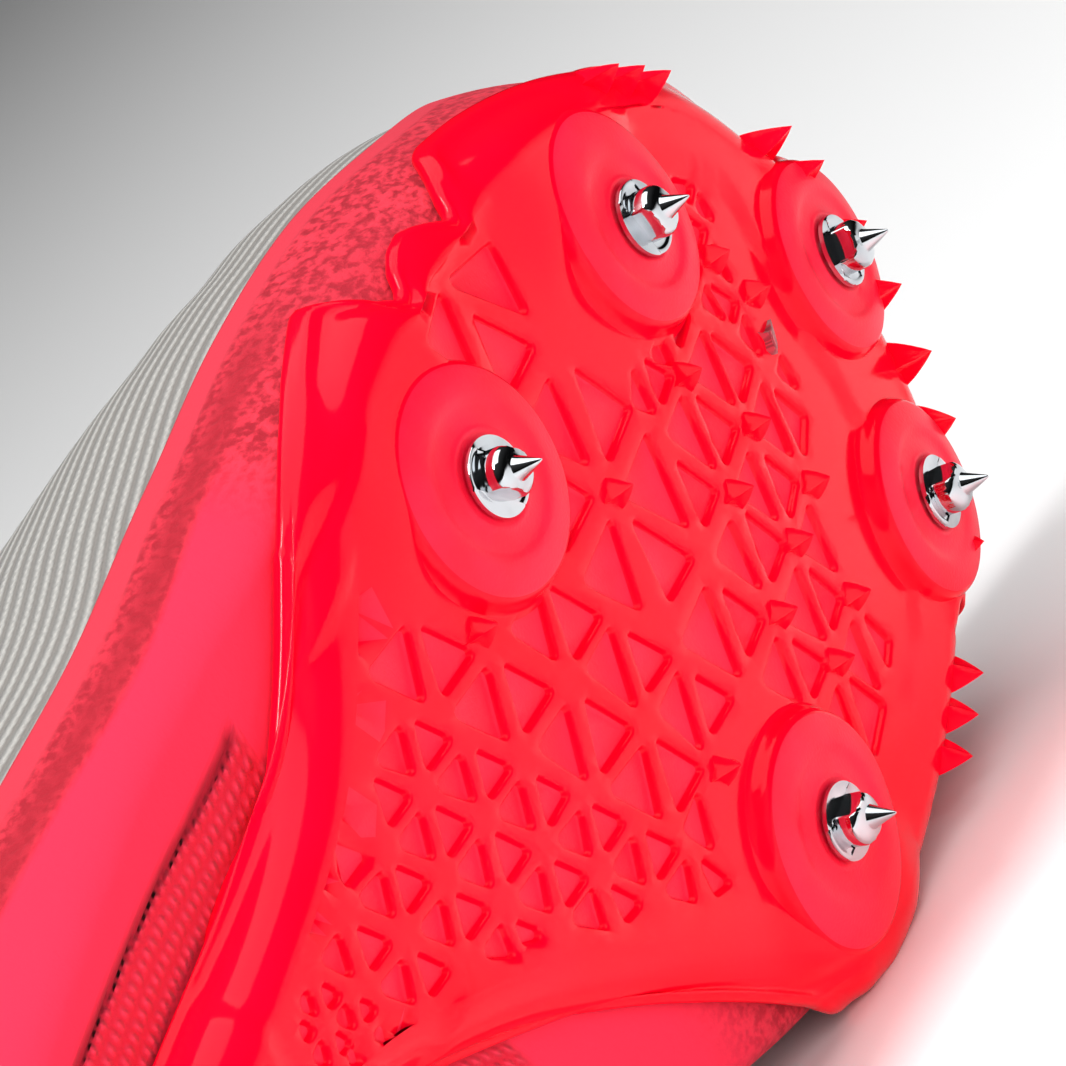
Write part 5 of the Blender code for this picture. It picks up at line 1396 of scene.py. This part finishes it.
@dataclass
class Studio:
    """Pale floor, soft lights, and the camera at the photograph's angle to the shoe."""

    camera_at: tuple = (-0.34765, -0.24669, -0.31223)
    camera_right: tuple = (0.33522, 0.56165, -0.75650)
    camera_down: tuple = (-0.67494, 0.70334, 0.22305)
    lens: float = 168.86
    floor_size: float = 12.0

    def axes(self) -> tuple[np.ndarray, np.ndarray, np.ndarray, np.ndarray]:
        """The camera's place and its right, up and backward directions in the row frame."""
        right = unit(PLACE.direction(np.array(self.camera_right)))
        down = PLACE.direction(np.array(self.camera_down))
        back = unit(np.cross(right, -down))
        return PLACE.point(np.array(self.camera_at)), right, np.cross(back, right), back

    def lamp(self, name: str, at: np.ndarray, aim: np.ndarray, size: tuple, watts: float,
             mirrored: bool = True) -> None:
        """An area light that faces a point; mirrored says whether gloss shows it."""
        data = bpy.data.lights.new(name, "AREA")
        data.shape, data.size, data.size_y, data.energy = "RECTANGLE", size[0], size[1], watts
        light = bpy.data.objects.new(name, data)
        light.location = at
        light.rotation_euler = Vector(aim - at).to_track_quat("-Z", "Y").to_euler()
        light.visible_glossy = mirrored
        bpy.context.scene.collection.objects.link(light)

    def build(self) -> None:
        """Make the camera, lights, world and floor."""
        place, right, up, back = self.axes()
        data = bpy.data.cameras.new("camera")
        data.lens, data.sensor_width, data.clip_start, data.clip_end = self.lens, 36.0, 0.01, 40.0
        camera = bpy.data.objects.new("camera", data)
        turn = np.eye(4)
        turn[:3, 0], turn[:3, 1], turn[:3, 2], turn[:3, 3] = right, up, back, place
        camera.matrix_world = Matrix(turn.tolist())
        bpy.context.scene.collection.objects.link(camera)
        bpy.context.scene.camera = camera
        aim = PLACE.point(np.array([0.02, 0.0, 0.01]))
        self.lamp("key", aim + back * 0.55 - right * 0.75 + up * 0.40, aim, (0.16, 0.40), 7.0)
        self.lamp("top", aim + np.array([0.1, -0.2, 1.4]), aim, (1.6, 1.6), 16.0)
        self.lamp("front", aim + back * 1.3 + up * 0.25 + right * 0.15, aim, (1.3, 1.3), 17.0, False)
        world = bpy.data.worlds.new("studio")
        world.use_nodes = True
        tree = world.node_tree
        parts = tree.nodes.new("ShaderNodeSeparateXYZ")
        tree.links.new(tree.nodes.new("ShaderNodeTexCoord").outputs["Generated"], parts.inputs[0])
        rise = tree.nodes.new("ShaderNodeMapRange")
        tree.links.new(parts.outputs[2], rise.inputs["Value"])
        for socket, value in (("From Min", 0.15), ("From Max", 0.75), ("To Min", 0.10), ("To Max", 0.85)):
            rise.inputs[socket].default_value = value
        tree.links.new(rise.outputs[0], tree.nodes["Background"].inputs["Strength"])
        bpy.context.scene.world = world
        bpy.context.scene.view_settings.view_transform = "Standard"
        half = self.floor_size / 2
        mesh = bpy.data.meshes.new("floor")
        corners = [(-half, -half, 0), (half, -half, 0), (half, half, 0), (-half, half, 0)]
        mesh.from_pydata(corners, [], [(0, 1, 2, 3)])
        floor = bpy.data.objects.new("floor", mesh)
        pale = Graph("pale_floor")
        pale.set(Base_Color=(0.93, 0.93, 0.93, 1.0), Roughness=0.9)
        mesh.materials.append(pale.material)
        bpy.context.scene.collection.objects.link(floor)


def main() -> None:
    """Load the frame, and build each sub-assembly over it."""
    logging.basicConfig(level=logging.INFO, format="%(name)s %(message)s")
    for obj in list(bpy.data.objects):
        bpy.data.objects.remove(obj)
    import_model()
    Studio().build()
    finishes = Finishes()
    Plate(finishes).build()
    Pads(finishes).build()
    Spikes(finishes).build()
    Teeth(finishes).build()
    Upper(finishes).build()
    Throat(finishes).build()
    Base(finishes).build()


if __name__ == "__main__":
    main()
